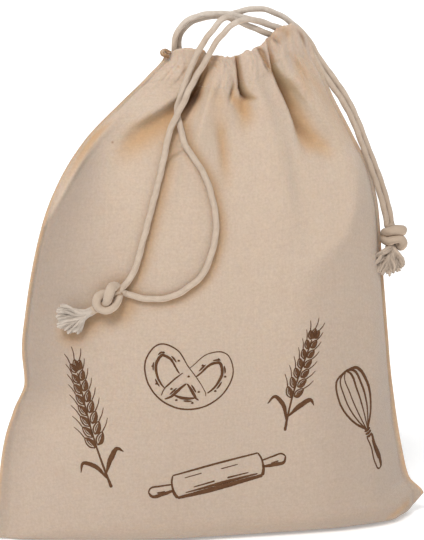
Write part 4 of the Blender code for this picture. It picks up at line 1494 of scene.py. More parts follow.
@dataclass
class ClothPanel(Piece):
    """One cloth panel with its casing, as a closed thin shell."""

    slot = CLOTH_SLOT
    node: str
    face: ClothFace
    flat: tuple[float, float] = (0.304, 0.40)
    cloth_thick: float = 0.9
    casing_thick: float = 2.6
    columns: int = 206
    base_rows: int = 8
    roll_rows: int = 14
    face_rows: int = 158
    casing_rows: int = 34
    evenness: float = 0.78
    crowding: float = 1.35
    foot_radius: float = 22.0
    foot_share: float = 0.6
    seam_foot: float = 0.8
    seam_inset: float = 0.4
    lip: float = 0.8
    shaded_by: tuple[tuple[Numbers, float], ...] = ()
    # Where the painted shade starts and how far it grows: in hollows, in deep folds, under leaning cloth
    # and towards the bottom.
    hollow_tone: tuple[float, float] = (0.4, 6.5)
    deep_tone: tuple[float, float] = (5.5, 5.0)
    lean_tone: tuple[float, float] = (0.12, 0.55)
    lean_from: float = 60.0
    low_shade_to: float = 250.0
    # Widths of the painted glow along the left seam and the right seam, by height.
    left_glow: Rows = (
        (0, 1.2), (150, 1.6), (205, 2), (218, 1.4), (235, 0.7), (280, 0.7), (300, 0.7), (315, 0.5),
        (330, 0.3),
    )
    right_glow: Rows = ((0, 1), (30, 3), (180, 2.4), (215, 0.6), (235, 0.1), (350, 0.1))

    def rows(self, folded: bool) -> Numbers:
        """The outer face, row by row from the bottom seam to the rim.

        Args:
            folded: Whether the folds are on it.

        Returns:
            The points in millimetres, with Y as the distance from the seam plane.
        """
        face, form = self.face, self.face.form
        even = np.linspace(-1.0, 1.0, self.columns + 1)
        spread = self.evenness * even + (1.0 - self.evenness) * np.sin(0.5 * math.pi * even)
        ground = np.zeros(self.columns + 1)

        def out(x: Numbers, z: Numbers) -> Numbers:
            """The folded or the plain face."""
            return face.out(x, z) if folded else form.bulge(x, form.level(z), face.side)

        lift = smooth_read(*zip(*FOOT_LIFT), form.across(spread, ground))
        levels = (lift, lift + 0.5 * self.foot_radius, lift + self.foot_radius)
        least = [
            form.bulge(form.across(spread, level), form.level(level), face.side) for level in levels
        ]
        radius = np.minimum(self.foot_radius, self.foot_share * np.min(least, axis=0))
        foot = lift + radius
        reach = out(form.across(spread, foot), foot)
        under = [(lift, form.gap_half + share * (reach - radius - form.gap_half))
                 for share in np.arange(self.base_rows) / self.base_rows]
        under += [(lift + radius * (1.0 - math.cos(turn)), reach - radius * (1.0 - math.sin(turn)))
                  for turn in np.linspace(0.0, 0.5 * math.pi, self.roll_rows + 1)[:-1]]
        low = face.top(spread) - face.casing_height
        shares = 1.0 - (1.0 - np.linspace(0.0, 1.0, self.face_rows + 1)) ** self.crowding
        casing_shares = np.linspace(0.0, 1.0, self.casing_rows + 1)[1:]
        z = np.array([
            *(height for height, _ in under),
            *(foot + (low - foot) * share for share in shares),
            *(low + face.casing_height * share for share in casing_shares),
        ])
        x = form.across(spread, z)
        y = out(x, z)
        y[:len(under)] = [distance for _, distance in under]
        return np.stack([x, y, z], axis=-1)

    def build(self) -> Object:
        """Make the panel's mesh.

        Returns:
            The panel, which stands for its solid.
        """
        face, form = self.face, self.face.form
        outer, plain = self.rows(folded=True), self.rows(folded=False)
        normal = unit(np.cross(np.gradient(plain, axis=0), np.gradient(plain, axis=1)))
        thick = np.full(len(outer), self.cloth_thick)
        thick[-self.casing_rows:] = self.casing_thick
        inner = outer - normal * thick[:, None, None]
        inner[..., 1] = np.maximum(inner[..., 1], form.gap_half)
        for column, inset in ((0, self.seam_inset), (-1, -self.seam_inset)):
            edge = outer[:, column].copy()
            edge[:, 0] += inset
            edge[:, 1] = form.gap_half
            edge[:, 2] = np.maximum(edge[:, 2], edge[0, 2] + self.seam_foot + 0.02 * np.arange(len(edge)))
            edge[-1, 2] = outer[-1, column, 2]
            inner[:, column] = edge
        lip = 0.5 * (outer[-1] + inner[-1])
        lip[:, 2] += self.lip
        sheet = np.concatenate([outer, lip[None], inner[::-1]])
        sheet[..., 1] *= face.side.value
        rows, columns = sheet.shape[:2]
        flip = face.side is Side.BACK
        faces = grid_quads(rows, columns, flip)
        half, last = len(outer), (rows - 1) * columns
        for column in (0, columns - 1):
            seam = [row * columns + column for row in range(rows)]
            ends = [(seam[row], seam[row + 1], seam[-2 - row], seam[-1 - row]) for row in range(half - 1)]
            ends.append(tuple(seam[half - 1:half + 2]))
            faces += [quad if (column == 0) != flip else quad[::-1] for quad in ends]
        for column in range(columns - 1):
            quad = (last + column, last + column + 1, column + 1, column)
            faces.append(quad[::-1] if flip else quad)
        draft = MeshDraft()
        draft.add(sheet.reshape(-1, 3), faces, self.cloth_places(sheet).reshape(-1, 2))
        self.piece = draft.make(self.name, self.masks(sheet))
        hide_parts(self.node)
        return self.piece

    @staticmethod
    def cloth_places(sheet: Numbers) -> Numbers:
        """Each point's place on the cloth in metres, measured along it from the middle.

        Args:
            sheet: The panel's points, row by row.

        Returns:
            The places along and up the cloth.
        """
        steps = np.linalg.norm(np.diff(sheet, axis=1), axis=-1)
        along = np.concatenate([np.zeros((len(sheet), 1)), np.cumsum(steps, axis=1)], axis=1)
        along -= along[:, [along.shape[1] // 2]]
        climb = np.linalg.norm(np.diff(sheet[:, ::8], axis=0), axis=-1).mean(axis=1)
        up = np.concatenate([[0.0], np.cumsum(climb)])
        return np.stack(np.broadcast_arrays(along, up[:, None]), axis=-1) * MM

    def masks(self, sheet: Numbers) -> dict[str, Numbers]:
        """Where each painted shade, painted shadow and painted glow shows on the cloth.

        Args:
            sheet: The panel's points, row by row.

        Returns:
            Strength from 0 to 1 for each point, by the tone's name.
        """
        x, z = sheet[..., 0], sheet[..., 2]
        level = self.face.form.level(z)
        relief = self.face.fold_relief(x, z, hollows=True)
        spread = self.face.form.spread(x, level)
        half_width = 0.5 * (level.right - level.left)
        relief += self.face.gathers.relief(spread, half_width, self.face.top(spread) - z)
        left = np.maximum(x - level.left, 0.0) / read_columns(self.left_glow, z)[0]
        right = np.maximum(level.right - x, 0.0) / read_columns(self.right_glow, z)[0]
        # Every mask here is painted shade, painted shadow or a painted glow.
        return {
            "hollow": ramp(-relief, *self.hollow_tone),
            "painted_fold_shade": ramp(-relief, *self.deep_tone),
            "painted_seam_glow": np.maximum(np.exp(-left**4), np.exp(-right**4)),
            "painted_underside_shade": self.painted_underside_shade(sheet),
            "painted_warm_shade": self.toned_lines(WARM_SHADE_LINES, x, z),
            "painted_dark_shade": self.toned_lines(DARK_SHADE_LINES, x, z),
            "painted_side_shade": self.side_shade_strength(x, z),
            "cord_shade": self.cord_shade(sheet),
            # Painted shade, darker towards the bottom.
            "painted_low_shade": soft_step(1.0 - z / self.low_shade_to),
        }

    def painted_underside_shade(self, sheet: Numbers) -> Numbers:
        """Painted shade where each point's cloth leans over what is under it.

        Args:
            sheet: The panel's points, row by row.

        Returns:
            Strength from 0 to 1.
        """
        out, rise = np.gradient(np.abs(sheet[..., 1]), axis=0), np.gradient(sheet[..., 2], axis=0)
        lean = np.where(rise > 0.2, out / np.maximum(rise, 0.2), 0.0)
        return ramp(lean, *self.lean_tone) * soft_step(sheet[..., 2] / self.lean_from)

    def toned_lines(self, table: Lines, across: Numbers, height: Numbers) -> Numbers:
        """How strongly each point of the front lies on a table's lines of painted shade.

        Args:
            table: The lines, with their half width and strength.
            across: Places along X.
            height: Places along Z.

        Returns:
            Strength from 0 to 1.
        """
        total = np.zeros(across.shape)
        if self.face.side is Side.FRONT:
            for rows in table.values():
                for x, z, wide, high in smooth_route(rows, 1.0):
                    on_line = bell(np.hypot(across - x, height - z) / wide)
                    total = np.maximum(total, high * on_line)
        return total

    def side_shade_strength(self, across: Numbers, height: Numbers) -> Numbers:
        """How strongly each point of the front takes the painted shade of the sides that turn away.

        Args:
            across: Places along X.
            height: Places along Z.

        Returns:
            Strength from 0 to 1.
        """
        if self.face.side is Side.BACK:
            return np.zeros(across.shape)
        edge, soft, share = read_columns(LEFT_TURN, height)
        left = bell(np.maximum(across - edge, 0.0) / soft) * share
        near = soft_step((across - edge) / LEFT_EDGE_SOFT + 1.0)
        left *= np.where(height > LEFT_EDGE_FROM, near, 1.0)
        edge, soft, share = read_columns(RIGHT_TURN, height)
        right = soft_step((across - edge) / soft + 0.5) * share
        return np.maximum(left, RIGHT_TURN_SHARE * right)

    def cord_shade(self, sheet: Numbers) -> Numbers:
        """How near each point lies to the warm shade beside the cords that rest on the cloth.

        Args:
            sheet: The panel's points, row by row.

        Returns:
            Strength from 0 to 1.
        """
        nearest = np.full(sheet.shape[:2], np.inf)
        for line, size in self.shaded_by:
            for x, y, z in line[::4]:
                off = np.hypot(sheet[..., 0] - x - size * CORD_SHADE_OFF[0],
                               sheet[..., 2] - z - size * CORD_SHADE_OFF[1])
                off = off + 0.5 * np.maximum(np.abs(sheet[..., 1] - y) - 4.0 * size, 0.0)
                nearest = np.minimum(nearest, off / size)
        return bell(nearest / CORD_SHADE_REACH)

    def declare(self, pieces: Sequence[Object]) -> None:
        """Take the pieces sewn or printed on the panel, and do nothing with them."""


@dataclass
class CasingStitches(Piece):
    """The row of machine stitches that closes the casing."""

    face: ClothFace
    stitch: float = 2.7
    space: float = 0.8
    radius: float = 0.15
    below_rim: float = 19.4
    ends: float = 0.985
    samples: int = 1400
    humps: tuple[float, ...] = (-1.4, -0.2, 0.35, 0.35, -0.2, -1.4)

    def build(self) -> Object:
        """Make every stitch along the row.

        Returns:
            The stitches.
        """
        spread = np.linspace(-self.ends, self.ends, self.samples)
        height = self.face.top(spread) - self.below_rim
        across = self.face.form.across(spread, height)
        line = self.face.lay_on(across, height, 0.0)
        proud = self.face.lay_on(across, height, 1.0) - line
        along = travelled(line)
        count, lift = len(self.humps), self.radius * np.array(self.humps)
        draft = MeshDraft()
        for start in np.arange(1.0, along[-1] - self.stitch, self.stitch + self.space):
            stops = start + np.linspace(0.0, self.stitch, count)
            points, raised = (
                np.stack([np.interp(stops, along, column) for column in values.T], axis=1)
                for values in (line, proud)
            )
            add_tube(draft, points + raised * lift[:, None], np.full(count, self.radius), 6)
        self.piece = draft.make(self.name)
        return self.piece


@dataclass
class CasingTab(Piece):
    """The small curl of cloth that sticks out of the casing's left end."""

    slot = CLOTH_SLOT
    route: tuple[Point, ...] = (
        (-31.6, -4.4, 325), (-33.2, -4.4, 325.4), (-35, -3.8, 326.4), (-35.6, -2.8, 328),
        (-34, -2.6, 328.9), (-32, -3.2, 328.2), (-30.6, -4, 327.6),
    )
    radius: float = 1.05
    swell: float = 0.5
    creasing: float = 0.35
    sides: int = 16
    seed: int = 71

    def build(self) -> Object:
        """Make the curl as a small flattened roll.

        Returns:
            The curl.
        """
        line = smooth_route(self.route, 0.5)
        order, round_it = np.arange(len(line))[:, None], np.cos(ring(self.sides))[None, :]
        swell = np.sin(math.pi * np.linspace(0.08, 0.92, len(line)))[:, None]
        creases = cloth_noise(order / 3.0, 2.0 * round_it, self.seed)
        draft = MeshDraft()
        radii = self.radius + self.swell * swell + self.creasing * creases
        add_tube(draft, line, radii, self.sides)
        # Painted shade in the curl's creases.
        shaded = soft_step(0.8 - 0.9 * creases).ravel()
        self.piece = draft.make(self.name, {"painted_warm_shade": 0.9 * shaded**0.5, "painted_dark_shade": 0.7 * shaded})
        return self.piece


@dataclass
class Drawcord(Piece):
    """One strand of a drawcord, from the casing to its knot."""

    node: str
    route: tuple[Point, ...]
    lay: Lay
    diameter: float = 4.0
    ring_step: float = 0.85
    sides: int = 20
    ply_depth: float = 0.13
    ply_pitch: float = 13.0
    seed: int = 3
    # Strength and start of the painted shade on the lower strand.
    in_shade: float = 0.0
    shade_below: tuple[float, float] = (292.0, 70.0)
    uneven: float = 0.05
    # Strength and start of the painted highlight on the sunlit top of the strand.
    sunny: float = 0.0
    sunny_above: tuple[float, float] = (336.0, 12.0)
    line: Numbers | None = None

    def build(self) -> Object:
        """Make the strand as a tube whose plies show.

        Returns:
            The strand, which stands for its solid.
        """
        self.line = smooth_route(self.route, self.ring_step)
        along = np.arange(len(self.line)) * self.ring_step
        thick = self.uneven * cloth_noise(along / 9.0, 0.5, self.seed)
        radii = 0.5 * self.diameter * (1.0 + thick[:, None])
        radii = radii + self.ply_depth * ply_lay(along, self.sides, self.ply_pitch)
        draft = MeshDraft()
        add_tube(draft, self.line, radii, self.sides)
        middle = np.repeat(self.line, self.sides, axis=0)
        dim_from, dim_over = self.shade_below
        # Painted bounce light, painted shade low down and a painted highlight at the top.
        self.piece = draft.make(self.name, {
            "away": turned_away(draft.points[0], middle),
            "in_shade": self.in_shade * soft_step((dim_from - middle[:, 2]) / dim_over),
            "teased_and_sunlit": self.sunny * ramp(middle[:, 2], *self.sunny_above),
        })
        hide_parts(self.node)
        return self.piece

    def declare(self, knot: Object) -> None:
        """Take the knot on the strand's far end, and do nothing with it.

        Args:
            knot: The knot on its far end; not used.
        """


def turned_away(points: Numbers, middle: Numbers) -> Numbers:
    """How far points round a cord's middle face away from the key light, from 0 to 1, for painted bounce
    light there.
    """
    return soft_step(1.3 * (unit(points - middle) @ np.array(FROM_KEY)))


@dataclass
class DrawKnot(Piece):
    """An overhand knot in both strands of a drawcord, with its frayed end."""

    node: str
    centre: Point
    tie: tuple[Point, ...]
    girth: tuple[float, ...]
    fan: tuple[Point, ...]
    strands: tuple[tuple[Point, ...], ...]
    seed: int
    locks: int = 18
    curl: float = 0.8
    lap: float = 5.0
    pale: float = 0.0
    # Strength of the painted shade on the knot's turns.
    in_shade: float = 0.0
    sides: int = 24
    ply_depth: float = 0.22
    ply_pitch: float = 15.0
    apart: int = 14
    touch: float = 1.1
    lead_radius: float = 2.08
    lead_sides: int = 18
    lock_radius: float = 1.45
    lock_sides: int = 8
    core_shade: float = 0.3
    fibres: int = 22
    fibre_sides: int = 4
    fibre_radius: float = 0.26
    turned: float = -13.0
    ring_step: float = 0.7
    line: Numbers | None = None

    def stand(self, places: Sequence[Point]) -> Numbers:
        """Stand the knot's own points in the frame.

        Args:
            places: Points given right, towards the viewer and up from the knot's centre.

        Returns:
            The points in millimetres.
        """
        angle = math.radians(self.turned)
        right = np.array([math.cos(angle), math.sin(angle), 0.0])
        near = np.array([math.sin(angle), -math.cos(angle), 0.0])
        up = np.array([0.0, 0.0, 1.0])
        return np.array(self.centre) + np.array(places) @ np.stack([right, near, up])

    def build(self) -> Object:
        """Make the knot's turns, the strands that lead into it and its frayed end.

        Returns:
            The knot, which stands for its solid.
        """
        draft = MeshDraft()
        points = self.stand(self.tie)
        self.line = line = smooth_route(points, self.ring_step)
        along = np.arange(len(line)) * self.ring_step
        girth = np.interp(along / along[-1], np.linspace(0.0, 1.0, len(self.girth)), self.girth)
        lay = self.ply_depth * ply_lay(along, self.sides, self.ply_pitch)
        add_tube(draft, line, girth[:, None] + lay, self.sides)
        away = turned_away(draft.points[0], np.repeat(line, self.sides, axis=0))
        crevice_shade = self.contact(draft.points[0], line, girth)
        for route in self.strands:
            last, before = np.array(route[-1]), np.array(route[-2])
            ahead = unit(last - before)
            lead = (last - 1.6 * ahead, last + 0.8 * ahead, 0.5 * (last + ahead) + 0.5 * points[0],
                    points[1])
            lead = smooth_route(lead, self.ring_step)
            add_tube(draft, lead, np.full(len(lead), self.lead_radius), self.lead_sides)
        tied = draft.count
        cores = self.add_locks(draft, line)
        loose, rest = draft.count - tied, np.zeros(draft.count - len(away))
        # Pale teased fibre on the locks, painted shade and painted bounce light on the turns, and painted
        # shade where turns touch and in the lock cores.
        masks = {
            "teased_and_sunlit": np.repeat((0.0, self.pale), (tied, loose)),
            "in_shade": np.repeat((self.in_shade, 0.0), (tied, loose)),
            "away": np.concatenate([away, rest]),
            "crevice_shade": np.concatenate([crevice_shade, rest]),
        }
        for start, stop in cores:
            masks["crevice_shade"][start:stop] = self.core_shade * (1.0 - self.pale)
        self.piece = draft.make(self.name, masks)
        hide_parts(self.node)
        return self.piece

    def contact(self, points: Numbers, line: Numbers, girth: Numbers) -> Numbers:
        """How near each point of the tie lies to another turn of it, for painted shade there.

        Args:
            points: The tie's own points, ring by ring.
            line: Its centre line.
            girth: Its radius along the line.

        Returns:
            Strength from 0 to 1.
        """
        order = np.arange(len(line))
        gaps = np.linalg.norm(points[:, None, :] - line[None, :, :], axis=2) - girth[None, :]
        near = np.abs(order[None, :] - np.repeat(order, self.sides)[:, None]) < self.apart
        return soft_step(1.0 - np.where(near, np.inf, gaps).min(axis=1) / self.touch)

    def add_locks(self, draft: MeshDraft, line: Numbers) -> list[tuple[int, int]]:
        """Fan the frayed locks out of the knot's tail.

        Args:
            draft: The knot's mesh.
            line: The knot's centre line.

        Returns:
            Where the points of each lock's core start and stop.
        """
        cores: list[tuple[int, int]] = []
        draw = np.random.default_rng(self.seed)
        fan = self.stand(self.fan)
        places = np.linspace(0.0, 1.0, len(fan))
        root, ahead = line[-1], unit(line[-1] - line[-5])
        _, across, other = carried_frames(line)
        for index in range(self.locks):
            share = (index + 0.5) / self.locks
            end = np.array([np.interp(share, places, column) for column in fan.T])
            end = root + (end - root) * draw.uniform(0.90, 1.02) + draw.normal(0.0, 0.5, 3)
            angle = 2.4 * index
            start = root - self.lap * ahead
            start = start + 1.5 * (across[-1] * math.cos(angle) + other[-1] * math.sin(angle))
            reach = float(np.linalg.norm(end - start))
            middle = start + 0.45 * (end - start) + ahead * reach * 0.10
            middle = middle + draw.normal(0.0, self.curl, 3)
            late = start + 0.78 * (end - start) + draw.normal(0.0, self.curl, 3)
            lock = smooth_route((start, start + self.lap * 0.7 * ahead, middle, late, end),
                                reach / 13.0)
            taper = np.interp(np.linspace(0.0, 1.0, len(lock)), (0.0, 0.3, 0.85, 1.0),
                              (0.7, 1.0, 0.95, 0.5))
            cores.append((draft.count, draft.count + self.lock_sides * len(lock)))
            add_tube(draft, lock, 0.85 * self.lock_radius * taper, self.lock_sides)
            for _ in range(self.fibres):
                angle, far = draw.uniform(0.0, 2.0 * math.pi), math.sqrt(draw.uniform(0.3, 1.0))
                grow = np.linspace(0.8, draw.uniform(0.8, 1.6), len(lock))[:, None]
                swirl = angle + np.linspace(0.0, draw.uniform(-2.4, 2.4), len(lock))[:, None]
                off = across[-1] * np.cos(swirl) + other[-1] * np.sin(swirl)
                strand = lock + off * far * self.lock_radius * grow
                count = int(len(strand) * draw.uniform(0.86, 1.0))
                stray = np.linspace(0.0, 1.0, count)[:, None] ** 2 * draw.normal(0.0, 0.5, 3)
                radii = np.linspace(self.fibre_radius, 0.5 * self.fibre_radius, count)
                add_tube(draft, strand[:count] + stray, radii, self.fibre_sides)
        return cores


# The print


class Stroke(NamedTuple):
    """A drawn line: its points and its width at each, in millimetres on the flat cloth."""

    points: tuple[tuple[float, float], ...]
    widths: tuple[float, ...]


def turned_strokes(strokes: Iterable[Stroke], turn: float, at: tuple[float, float]) -> list[Stroke]:
    """Strokes turned and moved on the flat.

    Args:
        strokes: What is turned.
        turn: Angle in degrees, against the clock.
        at: Where the strokes' own origin goes.

    Returns:
        The new strokes.
    """
    cos, sin = math.cos(math.radians(turn)), math.sin(math.radians(turn))
    return [
        Stroke(tuple((at[0] + x * cos - y * sin, at[1] + x * sin + y * cos) for x, y in points), widths)
        for points, widths in strokes
    ]


@dataclass(frozen=True)
class Motif:
    """A drawing printed on a panel, at a place and a tilt."""

    x: float
    z: float
    tilt: float

    def strokes(self) -> list[Stroke]:
        """The drawing's strokes about its own middle."""
        raise NotImplementedError


@dataclass(frozen=True)
class WheatEar(Motif):
    """A wheat ear with its awns, stalk and two leaves."""

    tall: float = 92.0
    pairs: int = 8
    kernel: float = 10.0
    ear_share: float = 0.56

    def kernel_strokes(self, x: float, y: float, turn: float, long: float) -> list[Stroke]:
        """One kernel: its outline, its shaded side and its awn.

        Args:
            x: Where it starts, across.
            y: Where it starts, up.
            turn: Which way it points, in degrees from straight up.
            long: Its length.

        Returns:
            The strokes.
        """
        half = 0.22 * long
        left = Stroke(((0, 0), (-half, 0.35 * long), (-0.7 * half, 0.75 * long), (0, long)),
                      (0.5, 0.7, 0.6, 0.5))
        right = Stroke(((0, 0), (0.75 * half, 0.3 * long), (0.6 * half, 0.7 * long), (0, long)),
                       (0.6, 2, 1.5, 0.5))
        vein = Stroke(((-0.1 * half, 0.25 * long), (-0.3 * half, 0.5 * long), (0, 0.8 * long)),
                      (0.35, 0.5, 0.35))
        awn = Stroke(((0, long), (0.06 * long, 1.5 * long), (0.02 * long, 2.0 * long)),
                     (0.6, 0.45, 0.3))
        return turned_strokes((left, right, vein, awn), -turn, (x, y))

    def strokes(self) -> list[Stroke]:
        """Stalk, leaves and kernels.

        Returns:
            The strokes about the ear's middle.
        """
        low, top = -0.5 * self.tall, 0.5 * self.tall - 1.2 * self.kernel
        neck = top - self.ear_share * self.tall
        drawn = [
            Stroke(((3.0, low), (1.6, 0.6 * low + 0.4 * neck), (0.0, neck), (0.0, top)),
                   (1.5, 1.1, 0.9, 0.7)),
            Stroke(((1.8, low + 10.0), (8.0, low + 20.0), (13.5, low + 25.0), (17.0, low + 22.0)),
                   (0.7, 2.6, 1.8, 0.4)),
            Stroke(((2.2, low + 6.0), (-5.0, low + 17.0), (-12.0, low + 20.0), (-15.0, low + 14.0)),
                   (0.7, 2.2, 1.6, 0.4)),
        ]
        for index in range(self.pairs):
            share = index / (self.pairs - 1)
            height = neck + share * (top - neck)
            long = self.kernel * (1.0 - 0.25 * share)
            for side in (-1, 1):
                start = height + (1.6 if side > 0.0 else 0.0)
                drawn += self.kernel_strokes(1.0 * side, start, side * (34.0 - 14.0 * share), long)
        return drawn + self.kernel_strokes(0.0, top + 1.0, 0.0, 0.85 * self.kernel)


@dataclass(frozen=True)
class Pretzel(Motif):
    """A baked pretzel with one twist, its ends laid over the lower arc."""

    rope: float = 3.7
    path: tuple[tuple[float, float], ...] = (
        (-13, -16), (-6, -7), (4, 3), (13, 12.5), (21, 14), (26, 6),
        (23.5, -6), (14, -16), (0, -20), (-14, -16), (-23.5, -6), (-26, 6),
        (-21, 14), (-13, 12.5), (-4, 3), (6, -7), (13, -16),
    )
    salt: tuple[tuple[float, float], ...] = (
        (-20, -9.5), (-24.5, 2), (-19, 12), (-8, 8), (-5, -18.5), (6, -19),
        (20, -9), (25, 1.5), (18.5, 12.5), (8.5, 7), (-9.5, -11.5), (9, -11), (0.4, -1.6),
    )

    def strokes(self) -> list[Stroke]:
        """The rope's two edges without their hidden parts, its shading and its salt.

        Returns:
            The strokes about the pretzel's middle.
        """
        line = smooth_route([(x, y, 0.0) for x, y in self.path], 0.8)[:, :2]
        line = np.concatenate([line[0] + 2.0 * unit(line[0] - line[2])[None], line])
        ahead = unit(np.gradient(line, axis=0))
        across = np.stack([-ahead[:, 1], ahead[:, 0]], axis=1)
        count = len(line)
        order = np.arange(count)
        ends = np.minimum(order, count - 1 - order)
        body = self.rope * np.minimum(1.0, 0.45 + ends / 7.0)
        drawn: list[Stroke] = []
        for side, inset, wide in ((1, 1, 0.8), (-1, 1, 1.5), (-1, 0.5, 0.9)):
            edge = line + across * (side * inset * body)[:, None]
            gaps = np.linalg.norm(edge[:, None, :] - line[None, :, :], axis=2)
            later = np.abs(order[None, :] - order[:, None]) > 14
            on_top = ends[None, :] < ends[:, None]
            hidden = (later & on_top & (gaps < body[None, :] - 0.1)).any(axis=1)
            for run in np.split(order, np.flatnonzero(np.diff(hidden)) + 1):
                if len(run) > 5 and not hidden[run[0]]:
                    drawn += self.edge_strokes(edge[run], wide, inset)
        for x, y in self.salt:
            drawn.append(Stroke(((x - 0.7, y - 0.3), (x, y + 0.4), (x + 0.8, y)), (0.6, 1.1, 0.6)))
        return drawn

    @staticmethod
    def edge_strokes(edge: Numbers, wide: float, inset: float) -> list[Stroke]:
        """One visible edge, or broken shading inside it.

        Args:
            edge: Its points.
            wide: Width in the middle.
            inset: 1 on the rope's edge, less inside it.

        Returns:
            The strokes.
        """
        pieces = [edge] if inset == 1.0 else [edge[n:n + 9] for n in range(4, len(edge) - 10, 16)]
        made = []
        for piece in pieces:
            places = piece[:: 3 if len(piece) > 9 else 2]
            share = np.linspace(0.0, 1.0, len(places))
            widths = wide * (0.45 + 0.55 * np.sin(math.pi * share))
            made.append(Stroke(tuple(map(tuple, places)), tuple(widths)))
        return made


@dataclass(frozen=True)
class RollingPin(Motif):
    """A rolling pin with turned handles."""

    long: float = 96.0
    thick: float = 16.0

    def strokes(self) -> list[Stroke]:
        """Barrel, handles and wood grain.

        Returns:
            The strokes about the pin's middle.
        """
        half, body, high = 0.5 * self.long, 0.31 * self.long, 0.5 * self.thick
        drawn = [
            Stroke(((-body, high), (0.0, high + 0.4), (body, high)), (0.7, 1, 0.7)),
            Stroke(((-body, -high), (-0.3 * body, -high - 0.3), (body, -high)), (1.4, 2.4, 1.6)),
            Stroke(((-0.8 * body, -0.72 * high), (0.2 * body, -0.7 * high), (0.9 * body, -0.74 * high)),
                   (0.5, 1.5, 0.6)),
            Stroke(((-0.6 * body, -0.42 * high), (-0.1 * body, -0.38 * high)), (0.5, 0.8)),
            Stroke(((0.2 * body, -0.40 * high), (0.7 * body, -0.44 * high)), (0.9, 0.5)),
            Stroke(((-0.75 * body, 0.55 * high), (-0.35 * body, 0.58 * high)), (0.4, 0.5)),
            Stroke(((0.1 * body, 0.5 * high), (0.5 * body, 0.5 * high)), (0.5, 0.4)),
        ]
        for side in (-1, 1):
            end = side * body
            tip = side * half
            drawn += [
                Stroke(((end, high), (end + 1.6 * side, 0.5 * high), (end + 1.9 * side, 0.0),
                        (end + 1.6 * side, -0.5 * high), (end, -high)), (0.8, 0.9, 1, 1.5, 1.6)),
                Stroke(((end + 1.8 * side, 2.2), (0.5 * (end + tip), 2.9), (tip - 1.6 * side, 2.7),
                        (tip, 0.6)), (0.7, 0.8, 0.8, 0.7)),
                Stroke(((end + 1.8 * side, -2.2), (0.5 * (end + tip), -2.9), (tip - 1.6 * side, -2.7),
                        (tip, 0.6)), (1.2, 1.9, 1.4, 0.7)),
                Stroke(((0.6 * end + 0.4 * tip, -1.3), (0.3 * end + 0.7 * tip, -1.2)), (0.4, 0.8)),
            ]
        return drawn


@dataclass(frozen=True)
class Whisk(Motif):
    """A wire whisk with a turned handle."""

    long: float = 78.0
    wide: float = 26.0

    def strokes(self) -> list[Stroke]:
        """Wires, collar and handle.

        Returns:
            The strokes about the whisk's middle.
        """
        low, top = -0.5 * self.long, 0.5 * self.long
        neck = low + 0.40 * self.long
        drawn: list[Stroke] = []
        for share, ink in ((1, 1.1), (0.62, 0.8), (0.24, 0.7)):
            half = 0.5 * self.wide * share
            for side in (-1, 1):
                heavy = ink * (1.5 if side > 0.0 else 0.9)
                drawn.append(Stroke(
                    ((0.5 * side, neck), (0.62 * half * side, neck + 0.22 * (top - neck)),
                     (half * side, neck + 0.66 * (top - neck)), (0.66 * half * side, top - 2.4),
                     (0.0, top)), (ink, ink, heavy, heavy, ink)))
        for rise in (0, 2.2, 4.4):
            drawn.append(Stroke(((-2.8, neck - rise), (0.0, neck - rise - 0.6), (2.8, neck - rise)),
                                (1, 1.3, 1.2)))
        drawn += [
            Stroke(((-2.6, neck - 5.0), (-2.0, neck - 12.0), (-3.0, low + 6.0), (-1.6, low + 0.8),
                    (0.4, low)), (0.8, 0.8, 0.9, 0.9, 0.8)),
            Stroke(((2.6, neck - 5.0), (2.0, neck - 12.0), (3.0, low + 6.0), (1.8, low + 0.8),
                    (0.4, low)), (1.4, 1.7, 2.4, 1.6, 0.8)),
            Stroke(((0.9, neck - 9.0), (0.8, neck - 16.0), (1.2, low + 7.0)), (0.5, 1.1, 0.6)),
        ]
        return drawn


